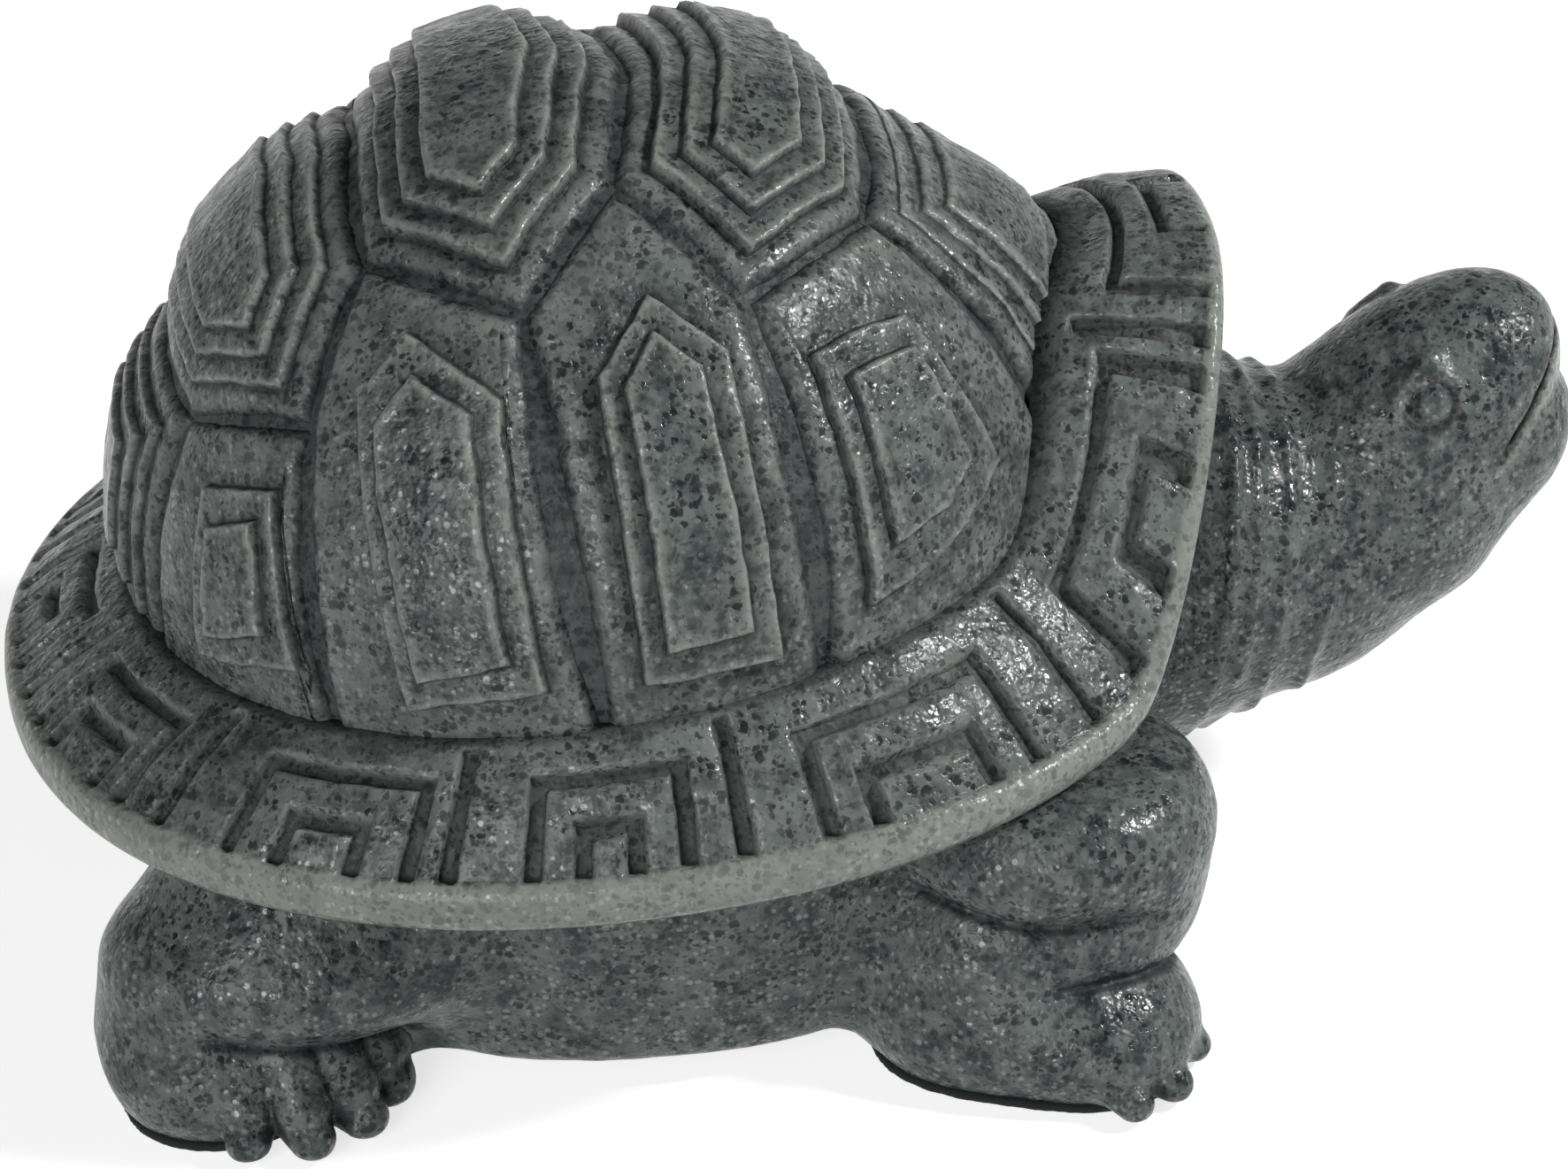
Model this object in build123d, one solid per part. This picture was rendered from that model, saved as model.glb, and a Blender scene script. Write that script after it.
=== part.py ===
from build123d import *
import os
from math import cos, degrees, radians, sin, sqrt, tan

# Turtle ornament, standing on its four feet and looking up along +X. Lengths are in millimetres.
# While it is built, x is measured from the middle of the shell and z from the table.

# Fits and cuts
fit_gap = 0.15
overrun = 40.0

# Shell, its flared rim and the arched hood over the neck
shell_length = 94.6
shell_width = 87.2
shell_pitch = 5.93
lip_level = 21.8
lip_height = 3.0
lip_round = 1.3
rim_reach_ends = 9.8
rim_reach_sides = 7.0
rim_wall = 4.5
rim_undercut = 2.2
rear_kick = 5.6
hood_rise = 24.2
hood_half_angle = 44.0
hood_flatness = 1.6
rim_fullness_share = 0.04
rim_angles = (0, 8, 16, 24, 32, 40, 48, 60, 75, 90, 105, 120, 135, 150, 165, 180)

# Key pattern cut into the rim: the middle of each arch and the half widths of its two grooves, all angles
groove_width = 1.25
groove_depth = 1.05
groove_lift = 0.8
rim_arches = (
    (0, 15, 6),
    (31, 8.5, 3),
    (64, 10.3, 5.6),
    (94, 7, 2.4),
    (121, 8.8, 3.6),
    (152, 8.5, 4.5),
    (180, 8, 3.4),
)
rim_bars = (19.3, 46, 82, 108.5, 138, 166)
arch_top_share = 0.31
arch_inner_top_share = 0.68
bar_top_share = 0.05

# Dome
dome_foot_rise = 12.4
dome_height = 35.1
dome_hood_rise = 14.5

# Scutes, each corner an angle round the shell and a climb up the dome
groove_sink = 1.5
foot_band = 1.2
hood_seat_forward = 28.1
hood_seat_lean = 15.0
seam_half_width = 0.9
plate_relief = 0.75
spine_step_insets = (2.6, 4.6, 6.6)
spine_step_reliefs = (1.3, 1.85, 2.35)
slab_relief = 1.5
panel_relief = 2.15
scute_root_share = 0.8
scute_tip_share = 1.6
spine_scutes = (
    ((0, 20), (25, 8), (28, 34), (31, 45), (0, 50)),
    ((0, 50), (31, 45), (62, 45), (73, 65), (0, 79)),
    ((0, 79), (73, 65), (98, 50), (133, 56), (180, 68)),
    ((180, 68), (133, 56), (131, 36), (156, 31), (180, 34)),
    ((180, 34), (156, 31), (160, 1), (180, 1)),
)
flank_plates = (
    ((69, 1), (62, 45), (31, 45), (28, 34), (25, 8), (45, 1)),
    ((94, 1), (98, 50), (73, 65), (62, 45), (69, 1)),
    ((126, 1), (131, 36), (133, 56), (98, 50), (94, 1)),
    ((160, 1), (156, 31), (131, 36), (126, 1)),
)
flank_slabs = (
    ((62, 6), (58, 36), (41.5, 34.5), (38.5, 13)),
    ((89, 5), (88, 41), (77, 49), (69, 40), (74, 4)),
    ((115.5, 4), (123, 40), (117, 48), (101.5, 40), (99.5, 6)),
    ((146, 4), (146, 25.5), (133.5, 28), (129, 7)),
)
flank_panels = (
    ((58, 12), (55, 32), (44, 31), (44, 16)),
    ((86, 9), (84.5, 39), (78.5, 44.5), (73.5, 39), (76.5, 9)),
    ((113.5, 8), (119, 37), (114.5, 43), (105.5, 38.5), (103, 10)),
    ((143, 8), (143, 21.5), (135, 24), (133, 11)),
)

# Seat of the shell on the torso
seat_rise = 4.7
tongue_thickness = 2.0
tongue_reach = 4.0
tongue_bite = 1.5
tongue_front = 20.0
spigot_radius = 15.0
spigot_height = 8.0

# Torso
torso_length = 80.0
torso_width = 68.6
torso_drop = 0.4
flank_radius = 58.0
belly_clearance = 2.0
belly_round = 3.0
collar_inset = 1.4
collar_depth = 3.0

# Neck, from its root in the torso to the middle of the head
neck_root_forward = 32.0
neck_root_level = 18.5
neck_root_radius = 15.2
neck_peg_radius = 6.0
neck_peg_length = 9.0
neck_peg_level = 14.0

# Shares of the way forward and up to the head, of the root's radius and of the head's tilt
neck_shares = (
    (0.0, 0.0, 1.0, 0.0),
    (0.42, 0.28, 1.05, 0.31),
    (0.66, 0.42, 0.85, 0.73),
    (0.86, 0.72, 0.74, 0.96),
    (1.0, 1.0, 0.64, 1.0),
)

# Head, with its parts placed from the middle of the skull
head_forward = 65.2
head_level = 34.0
head_tilt = 45.0
skull_half_length = 11.6
skull_half_width = 9.6
skull_half_height = 9.2
snout_half_length = 7.4
snout_half_width = 6.6
snout_half_height = 5.4
snout_forward = 6.2
snout_rise = 0.6
jaw_half_length = 9.6
jaw_half_width = 8.6
jaw_half_height = 7.4
jaw_forward = 1.6
jaw_drop = 4.4
eye_radius = 2.1
eye_forward = 2.7
eye_spread = 8.0
eye_rise = 4.2
brow_half_length = 3.4
brow_half_width = 2.2
brow_half_height = 1.8
brow_setback = 0.4
brow_spread = 6.2
brow_rise = 7.0

# Legs, given for the right-hand side
peg_root = 2.5
leg_peg_radius = 4.0
leg_peg_length = 8.0
front_peg_forward = 25.0
front_peg_level = 15.5
front_upper_forward = 30.7
front_upper_out = 29.0
front_upper_level = 16.4
front_upper_half_length = 12.0
front_upper_half_width = 12.0
front_upper_half_height = 10.2
front_lip_angles = range(20, 71, 5)
rear_peg_setback = 24.0
rear_peg_level = 14.5
rear_upper_setback = 26.5
rear_upper_out = 27.0
rear_upper_level = 13.8
rear_upper_half_length = 13.0
rear_upper_half_width = 11.4
rear_upper_half_height = 9.6
rear_lip_angles = range(110, 161, 5)

# Feet, their toes and their pads, where a toe's tip is a share of the foot's half length and half width
foot_level = 5.2
front_foot_forward = 28.7
front_foot_out = 31.0
front_foot_yaw = 38.0
front_foot_half_length = 13.2
front_foot_half_width = 8.6
front_foot_half_height = 8.2
front_toe_shares = ((0.90, -0.67), (1.01, -0.25), (0.91, 0.36), (0.69, 0.86))
rear_foot_setback = 30.3
rear_foot_out = 26.5
rear_foot_yaw = 58.0
rear_foot_half_length = 12.4
rear_foot_half_width = 11.0
rear_foot_half_height = 9.0
rear_toe_shares = ((0.72, -0.55), (1.00, -0.17), (1.03, 0.24), (0.83, 0.65))
toe_half_length = 4.4
toe_half_width = 2.4
toe_half_height = 3.0
pad_thickness = 0.7
pad_inset = 0.9

# Tail
tail_level = 12.0
tail_radius = 4.4
tail_tip_radius = 2.4
tail_length = 3.0
tail_drop = 1.0
tail_sink = 6.0
tail_peg_radius = 1.5
tail_peg_length = 6.0

# Sizes that follow from those above
lip_half_length = shell_length / 2
lip_half_width = shell_width / 2
foot_half_length = lip_half_length - rim_reach_ends
foot_half_width = lip_half_width - rim_reach_sides
dome_foot_level = lip_level + dome_foot_rise
seat_level = lip_level + seat_rise
tongue_top = seat_level + tongue_thickness
torso_half_length = torso_length / 2
torso_half_width = torso_width / 2
torso_top = lip_level - torso_drop
collar_half_length = foot_half_length - collar_inset
collar_half_width = foot_half_width - collar_inset
slope = tan(radians(shell_pitch))
front_leg = {
    "peg_at": (front_peg_forward, front_peg_level),
    "upper_at": (front_upper_forward, -front_upper_out, front_upper_level),
    "upper_radii": (front_upper_half_length, front_upper_half_width, front_upper_half_height),
    "lip_angles": front_lip_angles,
    "foot_at": (front_foot_forward, -front_foot_out, foot_level),
    "foot_yaw": front_foot_yaw,
    "foot_radii": (front_foot_half_length, front_foot_half_width, front_foot_half_height),
    "toe_shares": front_toe_shares,
}
rear_leg = {
    "peg_at": (-rear_peg_setback, rear_peg_level),
    "upper_at": (-rear_upper_setback, -rear_upper_out, rear_upper_level),
    "upper_radii": (rear_upper_half_length, rear_upper_half_width, rear_upper_half_height),
    "lip_angles": rear_lip_angles,
    "foot_at": (-rear_foot_setback, -rear_foot_out, foot_level),
    "foot_yaw": rear_foot_yaw,
    "foot_radii": (rear_foot_half_length, rear_foot_half_width, rear_foot_half_height),
    "toe_shares": rear_toe_shares,
}


# Shell surfaces
def hood_share(angle):
    """How much of the hood's rise applies at this angle round the shell."""
    turn = abs((angle + 180) % 360 - 180) / hood_half_angle
    return cos(radians(90 * turn ** hood_flatness)) ** 2 if turn < 1 else 0.0


def foot_point(angle):
    """Point on the line where the dome meets the rim, which climbs the dome under the hood."""
    c, s = cos(radians(angle)), sin(radians(angle))
    climb = dome_hood_rise * hood_share(angle)
    inwards = sqrt(1 - (climb / dome_height) ** 2)
    level = dome_foot_level + slope * foot_half_length * c + climb
    return Vector(foot_half_length * c * inwards, -foot_half_width * s * inwards, level)


def lip_point(angle):
    """Point on the lower edge of the rim's lip."""
    c, s = cos(radians(angle)), sin(radians(angle))
    full = 1 + rim_fullness_share * sin(radians(2 * angle)) ** 2 if c > 0 else 1
    level = lip_level + slope * lip_half_length * c + hood_rise * hood_share(angle)
    kick = rear_kick * ((1 - c) / 2) ** 2
    return Vector(lip_half_length * c * full, -lip_half_width * s * full, level + kick)


def ellipse_column(half_length, half_width, bottom, top):
    """Upright elliptical column."""
    return Pos(0, 0, bottom) * extrude(Ellipse(half_length, half_width), top - bottom)


# Scutes
def mirrored(corners):
    """The same corners on the other side of the spine."""
    return tuple((-angle, climb) for angle, climb in corners)


def ray(angle, climb):
    """Direction from the middle of the dome to a point on it."""
    turn, lift = radians(angle), radians(climb)
    return Vector(cos(turn) * cos(lift), -sin(turn) * cos(lift), sin(lift))


def scute_sides(corners):
    """Planes through the middle of a ball and each side of a scute, as directions into the scute."""
    rays = [ray(*corner) for corner in corners]
    middle = sum(rays, Vector()).normalized()
    sides = [rays[index - 1].cross(rays[index]).normalized() for index in range(len(rays))]
    return [side if side.dot(middle) > 0 else -side for side in sides], middle


def scute_block(corners, inset):
    """Block that takes one scute out of a ball, with the scute's sides moved in by inset."""
    sides, middle = scute_sides(corners)
    roots, tips = [], []
    for index, before in enumerate(sides):
        after = sides[(index + 1) % len(sides)]
        across = (before + after) * (inset / (1 + before.dot(after)))
        along = before.cross(after).normalized()
        along = along if along.dot(middle) > 0 else -along
        for points, share in ((roots, scute_root_share), (tips, scute_tip_share)):
            points.append(across + along * sqrt((dome_height * share) ** 2 - across.length ** 2))
    faces = []
    for index in range(len(sides)):
        faces.append(Face(Wire.make_polygon((roots[index], tips[index], tips[index - 1], roots[index - 1]))))
        for points, share in ((roots, scute_root_share), (tips, scute_tip_share)):
            peak = middle * (dome_height * share)
            faces.append(Face(Wire.make_polygon((peak, points[index], points[index - 1]))))
    return Solid(Shell(faces))


def scuted_ball():
    """Ball of the dome's height with the stepped scutes of the spine and both flanks."""
    layers = []
    for half in spine_scutes:
        whole = half + tuple(corner for corner in mirrored(half)[::-1] if corner[0] not in (0, -180))
        layers.append((plate_relief, whole, seam_half_width))
        layers += [(relief, whole, inset) for inset, relief in zip(spine_step_insets, spine_step_reliefs)]
    for outlines, relief, inset in (
        (flank_plates, plate_relief, seam_half_width),
        (flank_slabs, slab_relief, 0.0),
        (flank_panels, panel_relief, 0.0),
    ):
        for outline in outlines:
            layers += [(relief, outline, inset), (relief, mirrored(outline), inset)]
    floor_radius = dome_height - groove_sink
    below = Box(shell_length, shell_width, overrun, align=(Align.CENTER, Align.CENTER, Align.MAX))
    ahead = Box(overrun, shell_width, overrun, align=(Align.MIN, Align.CENTER, Align.CENTER))
    seat = Pos(0, 0, foot_band) * below + Pos(hood_seat_forward, 0, 0) * Rot(0, hood_seat_lean, 0) * ahead
    ball = Sphere(floor_radius) + (Sphere(dome_height) & seat)
    blocks = []
    for relief, corners, inset in layers:
        blocks.append(Sphere(floor_radius + relief) & scute_block(corners, inset))
    return ball + blocks


# Solids shared by several pieces
def ellipsoid(radii):
    """Ellipsoid about the origin."""
    return scale(Sphere(1), by=radii)


def peg(radius, length):
    """Round peg along +Y from the origin."""
    return Rot(-90, 0, 0) * Cylinder(radius, length, align=(Align.CENTER, Align.CENTER, Align.MIN))


# Shell pieces
def dome_place():
    """Where the middle of the dome's foot lies, and its pitch."""
    return Pos(0, 0, dome_foot_level) * Rot(0, -shell_pitch, 0)


def dome_room():
    """Smooth dome, larger by the fit's gap than the one that the rim goes round."""
    return dome_place() * ellipsoid((foot_half_length, foot_half_width, dome_height + fit_gap))


def carapace_dome():
    """Dome with its scutes, a foot that seats on the torso and a recess for the spigot."""
    shares = ((foot_half_length - fit_gap) / dome_height, (foot_half_width - fit_gap) / dome_height, 1)
    dome = dome_place() * scale(scuted_ball(), by=shares)
    above = Box(shell_length, shell_width, overrun * 2, align=(Align.CENTER, Align.CENTER, Align.MIN))
    dome &= Pos(0, 0, tongue_top + fit_gap) * above
    plug_reach = tongue_reach + fit_gap
    plug_top = tongue_top + tongue_thickness
    dome += ellipse_column(foot_half_length - plug_reach, foot_half_width - plug_reach, seat_level, plug_top)
    recess_top = seat_level + spigot_height + fit_gap
    recess_radius = spigot_radius + fit_gap
    return dome - ellipse_column(recess_radius, recess_radius, seat_level - overrun, recess_top)


def rim_section(angle):
    """Upright slice through the rim, from the dome's foot line out to the lip."""
    inner = foot_point(angle)
    outer = lip_point(angle)
    across = Vector(outer.X - inner.X, outer.Y - inner.Y, 0)
    rounded = outer - across.normalized() * lip_round
    inner_bottom = min(outer.Z + rim_undercut, inner.Z - rim_wall)
    corners = [
        inner,
        Vector(rounded.X, rounded.Y, outer.Z + lip_height),
        Vector(outer.X, outer.Y, outer.Z + lip_height - lip_round),
        Vector(outer.X, outer.Y, outer.Z + lip_round),
        Vector(rounded.X, rounded.Y, outer.Z),
        Vector(inner.X, inner.Y, inner_bottom),
    ]
    return Wire.make_polygon(corners)


def rim_point(angle, share, lift):
    """Point a share of the way from the dome to the lip, lifted off the rim's upper face."""
    inner = foot_point(angle)
    outer = lip_point(angle)
    across = Vector(outer.X - inner.X, outer.Y - inner.Y, 0).normalized()
    down = outer - across * lip_round + Vector(0, 0, lip_height) - inner
    upright = (Vector(0, 0, down.dot(across)) - across * down.Z).normalized()
    return inner + down * share + upright * lift


def rim_groove(angles, shares):
    """Cutter for one straight groove between two angles and between two shares of the way to the lip."""
    sections = []
    for angle in angles:
        corners = [rim_point(angle, share, groove_lift) for share in shares]
        corners += [rim_point(angle, share, -groove_depth) for share in reversed(shares)]
        sections.append(Wire.make_polygon(corners))
    return Solid.make_loft(sections)


def arch_grooves(middle, reach, top_share):
    """The two legs and the top of one arch of the key pattern."""
    turn = degrees(groove_width / 2 / lip_half_width)
    band = (rim_point(middle, 1, 0) - rim_point(middle, 0, 0)).length
    half_share = groove_width / 2 / band
    low, high = middle - reach, middle + reach
    legs = (top_share - half_share, 1)
    top = (top_share - half_share, top_share + half_share)
    return [
        rim_groove((low - turn, low + turn), legs),
        rim_groove((high - turn, high + turn), legs),
        rim_groove((low - turn, middle, high + turn), top),
    ]


def rim_pattern():
    """Cutters for the arches and the bars between them on the right-hand side."""
    turn = degrees(groove_width / 2 / lip_half_width)
    cutters = [rim_groove((bar - turn, bar + turn), (bar_top_share, 1)) for bar in rim_bars]
    for middle, outer, inner in rim_arches:
        cutters += arch_grooves(middle, outer, arch_top_share)
        cutters += arch_grooves(middle, inner, arch_inner_top_share)
    return cutters


def marginal_rim():
    """Flared rim with the hood, and the tongue that the dome holds down on the torso."""
    half = Part() + Solid.make_loft([rim_section(angle) for angle in rim_angles])
    half -= rim_pattern()
    rim = half + mirror(half, about=Plane.XZ) - dome_room()
    tongue_edge = (foot_half_length + tongue_bite, foot_half_width + tongue_bite)
    tongue_hole = (foot_half_length - tongue_reach, foot_half_width - tongue_reach)
    tongue = ellipse_column(*tongue_edge, seat_level, tongue_top)
    tongue -= ellipse_column(*tongue_hole, seat_level - overrun, tongue_top + overrun)
    front = Box(overrun, shell_width, overrun, align=(Align.MIN, Align.CENTER, Align.CENTER))
    return rim + (tongue - Pos(tongue_front, 0, seat_level) * front)


# Body pieces
def leg_peg_place(leg):
    """Where a right-hand leg's peg enters the torso."""
    x, z = leg["peg_at"]
    y = torso_half_width * sqrt(1 - (x / torso_half_length) ** 2)
    return Vector(x, -y, z)


def torso_form(gap):
    """Bulging flanks, larger by gap all round."""
    radii = (torso_half_length + gap, torso_half_width + gap, flank_radius + gap)
    return Pos(0, 0, torso_top) * ellipsoid(radii)


def torso():
    """Belly and flanks, with the collar and spigot that carry the shell and sockets for the pegs."""
    height = torso_top - belly_clearance
    layer = Box(torso_length * 2, torso_width * 2, height, align=(Align.CENTER, Align.CENTER, Align.MIN))
    body = torso_form(0.0) & Pos(0, 0, belly_clearance) * layer
    body = fillet(body.edges().group_by(Axis.Z)[0], belly_round)
    body += ellipse_column(collar_half_length, collar_half_width, torso_top - collar_depth, seat_level)
    body += ellipse_column(spigot_radius, spigot_radius, torso_top, seat_level + spigot_height)
    socket = Pos(0, -peg_root, 0) * peg(leg_peg_radius + fit_gap, peg_root + leg_peg_length + fit_gap)
    for leg in (front_leg, rear_leg):
        hole = Pos(*leg_peg_place(leg)) * socket
        body -= hole
        body -= mirror(hole, about=Plane.XZ)
    neck_hole = Rot(0, 0, 90) * peg(neck_peg_radius + fit_gap, neck_peg_length + fit_gap)
    body -= Pos(torso_half_length, 0, neck_peg_level) * neck_hole
    tail_hole = Rot(0, 0, -90) * peg(tail_peg_radius + fit_gap, tail_peg_length + fit_gap)
    return body - Pos(-torso_half_length, 0, tail_level) * tail_hole


def around_torso():
    """Room that the torso, its collar and the dome's foot take up, with the fit's gap."""
    gap_length = foot_half_length + fit_gap
    gap_width = foot_half_width + fit_gap
    return [torso_form(fit_gap), ellipse_column(gap_length, gap_width, torso_top - collar_depth, overrun * 2)]


def head_form():
    """Skull, snout, jaw, eyes and brows, level and about the middle of the skull."""
    head = Part() + ellipsoid((skull_half_length, skull_half_width, skull_half_height))
    snout = ellipsoid((snout_half_length, snout_half_width, snout_half_height))
    head += Pos(snout_forward, 0, snout_rise) * snout
    head += Pos(jaw_forward, 0, -jaw_drop) * ellipsoid((jaw_half_length, jaw_half_width, jaw_half_height))
    brow = ellipsoid((brow_half_length, brow_half_width, brow_half_height))
    for side in (-1, 1):
        head += Pos(eye_forward, side * eye_spread, eye_rise) * Sphere(eye_radius)
        head += Pos(-brow_setback, side * brow_spread, brow_rise) * brow
    return head


def head_neck():
    """Neck that rises from the torso's front, and the raised head."""
    rings = []
    for forward_share, level_share, radius_share, tilt_share in neck_shares:
        forward = neck_root_forward + (head_forward - neck_root_forward) * forward_share
        level = neck_root_level + (head_level - neck_root_level) * level_share
        ring = Wire(Edge.make_circle(neck_root_radius * radius_share))
        rings.append(Pos(forward, 0, level) * Rot(0, 90 - head_tilt * tilt_share, 0) * ring)
    body = Part() + Solid.make_loft(rings)
    body += Pos(head_forward, 0, head_level) * Rot(0, -head_tilt, 0) * head_form()
    body -= around_torso()
    plug = Rot(0, 0, 90) * peg(neck_peg_radius, peg_root + neck_peg_length)
    return body + Pos(torso_half_length + peg_root, 0, neck_peg_level) * plug


def foot_form(leg):
    """Foot with its toes, level and heading along +X from the origin."""
    length, width, _ = leg["foot_radii"]
    foot = Part() + ellipsoid(leg["foot_radii"])
    toe = ellipsoid((toe_half_length, toe_half_width, toe_half_height))
    toe_level = pad_thickness + toe_half_height / 2 - foot_level
    for along_share, across_share in leg["toe_shares"]:
        tip = Vector(length * along_share, width * across_share, 0)
        middle = tip - tip.normalized() * toe_half_length
        heading = Vector(1, 0, 0).get_signed_angle(tip, Vector(0, 0, 1))
        foot += Pos(middle.X, middle.Y, toe_level) * Rot(0, 0, heading) * toe
    return foot


def right_leg(leg):
    """Leg with its foot and toes, cut to the torso, the rim and the sole."""
    body = Part() + Pos(*leg["upper_at"]) * ellipsoid(leg["upper_radii"])
    body += Pos(*leg["foot_at"]) * Rot(0, 0, -leg["foot_yaw"]) * foot_form(leg)
    ceiling = min(lip_point(angle).Z for angle in leg["lip_angles"]) - fit_gap
    height = ceiling - pad_thickness
    layer = Box(shell_length * 2, shell_width * 2, height, align=(Align.CENTER, Align.CENTER, Align.MIN))
    body &= Pos(0, 0, pad_thickness) * layer
    body -= around_torso()
    plug = Pos(0, -peg_root, 0) * peg(leg_peg_radius, peg_root + leg_peg_length)
    return body + Pos(*leg_peg_place(leg)) * plug


def right_pad(leg):
    """Thin pad under a foot, set in from the sole's edge."""
    x, y, level = leg["foot_at"]
    length, width, height = leg["foot_radii"]
    sole_share = sqrt(1 - ((level - pad_thickness) / height) ** 2)
    outline = Ellipse(length * sole_share - pad_inset, width * sole_share - pad_inset)
    pad = Pos(x, y, 0) * Rot(0, 0, -leg["foot_yaw"]) * extrude(outline, pad_thickness)
    return pad - around_torso()


def tail():
    """Short tail under the rear of the rim."""
    root = Rot(0, -90, 0) * Wire(Edge.make_circle(tail_radius))
    tip = Rot(0, -90, 0) * Wire(Edge.make_circle(tail_tip_radius))
    cone = Solid.make_loft([root, Pos(-tail_length - tail_sink, 0, -tail_drop) * tip])
    body = Part() + Pos(tail_sink - torso_half_length, 0, tail_level) * cone
    body -= around_torso()
    plug = Rot(0, 0, -90) * peg(tail_peg_radius, peg_root + tail_peg_length)
    return body + Pos(-torso_half_length - peg_root, 0, tail_level) * plug


# Assembly
pieces = {
    "carapace_dome": carapace_dome(),
    "marginal_rim": marginal_rim(),
    "torso": torso(),
    "head_neck": head_neck(),
    "front_right_leg": right_leg(front_leg),
    "rear_right_leg": right_leg(rear_leg),
    "front_right_pad": right_pad(front_leg),
    "rear_right_pad": right_pad(rear_leg),
    "tail": tail(),
}
for name in [name for name in pieces if "_right_" in name]:
    pieces[name.replace("right", "left")] = mirror(pieces[name], about=Plane.XZ)

# The origin lies on the table, under the middle of the whole ornament
boxes = [piece.bounding_box() for piece in pieces.values()]
rear_end = min(box.min.X for box in boxes)
front_end = max(box.max.X for box in boxes)
to_origin = Pos(-(rear_end + front_end) / 2, 0, 0)

os.makedirs("parts", exist_ok=True)
for name, piece in pieces.items():
    export_step(to_origin * piece, f"parts/{name}.step")
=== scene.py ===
import itertools
import math
import bpy
import numpy as np
from mathutils import Matrix, Vector

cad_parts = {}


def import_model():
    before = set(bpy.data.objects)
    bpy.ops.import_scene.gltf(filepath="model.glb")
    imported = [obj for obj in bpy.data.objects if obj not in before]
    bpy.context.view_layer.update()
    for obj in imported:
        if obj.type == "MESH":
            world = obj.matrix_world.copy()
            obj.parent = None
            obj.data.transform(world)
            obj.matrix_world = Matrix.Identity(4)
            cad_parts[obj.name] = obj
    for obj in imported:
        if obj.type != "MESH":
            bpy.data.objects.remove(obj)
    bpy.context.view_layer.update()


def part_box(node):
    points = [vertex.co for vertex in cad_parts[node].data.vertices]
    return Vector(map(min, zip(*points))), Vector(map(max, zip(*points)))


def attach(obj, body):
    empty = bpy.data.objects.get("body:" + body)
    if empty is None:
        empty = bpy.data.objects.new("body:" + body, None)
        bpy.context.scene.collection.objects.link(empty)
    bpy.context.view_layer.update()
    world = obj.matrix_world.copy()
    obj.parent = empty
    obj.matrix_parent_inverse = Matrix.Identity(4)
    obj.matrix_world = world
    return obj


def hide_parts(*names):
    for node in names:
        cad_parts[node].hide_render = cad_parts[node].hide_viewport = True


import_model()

# Lengths are in millimetres and angles in degrees.
# x runs from the middle of the shell to the head, z from the table, and an angle from the head to the right.
MM = 0.001
LIP_HALF_LENGTH = 47.3
LIP_HALF_WIDTH = 43.6
SHELL_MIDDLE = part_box("marginal_rim")[0].x / MM + LIP_HALF_LENGTH
UP = np.array((0, 0, 1.0))

# Camera
CAMERA_TARGET = (13.88, 0.0, 23.0)
CAMERA_DISTANCE = 300.0
CAMERA_AZIMUTH = -5.88
CAMERA_ELEVATION = 30.62
CAMERA_ROLL = -2.0
CAMERA_LENS = 86.54
CAMERA_SENSOR = 36.0

# Floor, its reach in metres
FLOOR_REACH = 3.0
FLOOR_COLOUR = (0.62, 0.62, 0.62, 1)
FLOOR_GLOW = 0.72

# Room, as light and as background: two heights on the unit sphere, and the strength at each
ROOM_LIGHT = ((0.0, 0.9), (0.34, 0.0))
ROOM_LOOK = ((0.12, 0.45), (1.0, 0.1))

# Lamps: heading from the middle of the floor, distance and size in metres, power in watts
LAMPS = {
    "key": ((-0.5, -0.85, 0.4), 0.75, 0.5, 3.0),
    "glint": ((0.68, -0.2, 0.7), 0.6, 0.08, 3.0),
}

# Colours
STONE_DARK, STONE_GREY = (0.02, 0.026, 0.027, 1), (0.09, 0.104, 0.1, 1)
STONE_PALE = (0.16, 0.177, 0.17, 1)
# Painted shade, mixed in where hollows, grooves and the rim's underside lie
STONE_HOLLOW_SHADE = (0.014, 0.017, 0.018, 1)
STONE_WORN = (0.29, 0.305, 0.28, 1)
STONE_GRAIN = (0.008, 0.009, 0.01, 1)
# Pad colours, near black: the pads' own colour, and also the painted shadow under each foot
FELT_AND_SHADOW_DARK, FELT_AND_SHADOW_GREY = (0.006, 0.007, 0.008, 1), (0.022, 0.025, 0.026, 1)

# Shell
SHELL_PITCH = 5.93
DOME_RADII = np.array((37.5, 36.6, 35.1))
DOME_LEVEL = 34.2
GROOVE_SINK = 1.5
DOME_FOOT_CLIMB, DOME_TOP_CLIMB = -14.0, 88.5
DOME_ANGLE_STEP, DOME_CLIMB_STEP = 1.5, 1.2
LIP_LEVEL = 21.8
LIP_HEIGHT, LIP_DROP = 3.0, 0.9
LIP_ROUND = 1.3
LIP_WEAR = 0.75
RIM_WALL = 4.5
RIM_UNDERCUT = 2.2
RIM_ROOT = 2.0
REAR_KICK = 5.6
HOOD_RISE = 24.2
HOOD_FOOT_RISE = 14.5
HOOD_HALF_ANGLE = 44.0
HOOD_FLATNESS, HOOD_FAR_FLATNESS = 1.6, 1.45
RIM_FULLNESS, RIM_REAR_FULLNESS = 0.04, 0.025
FRONT_BULGE = 3.4
FRONT_SPREAD = 0.28

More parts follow.
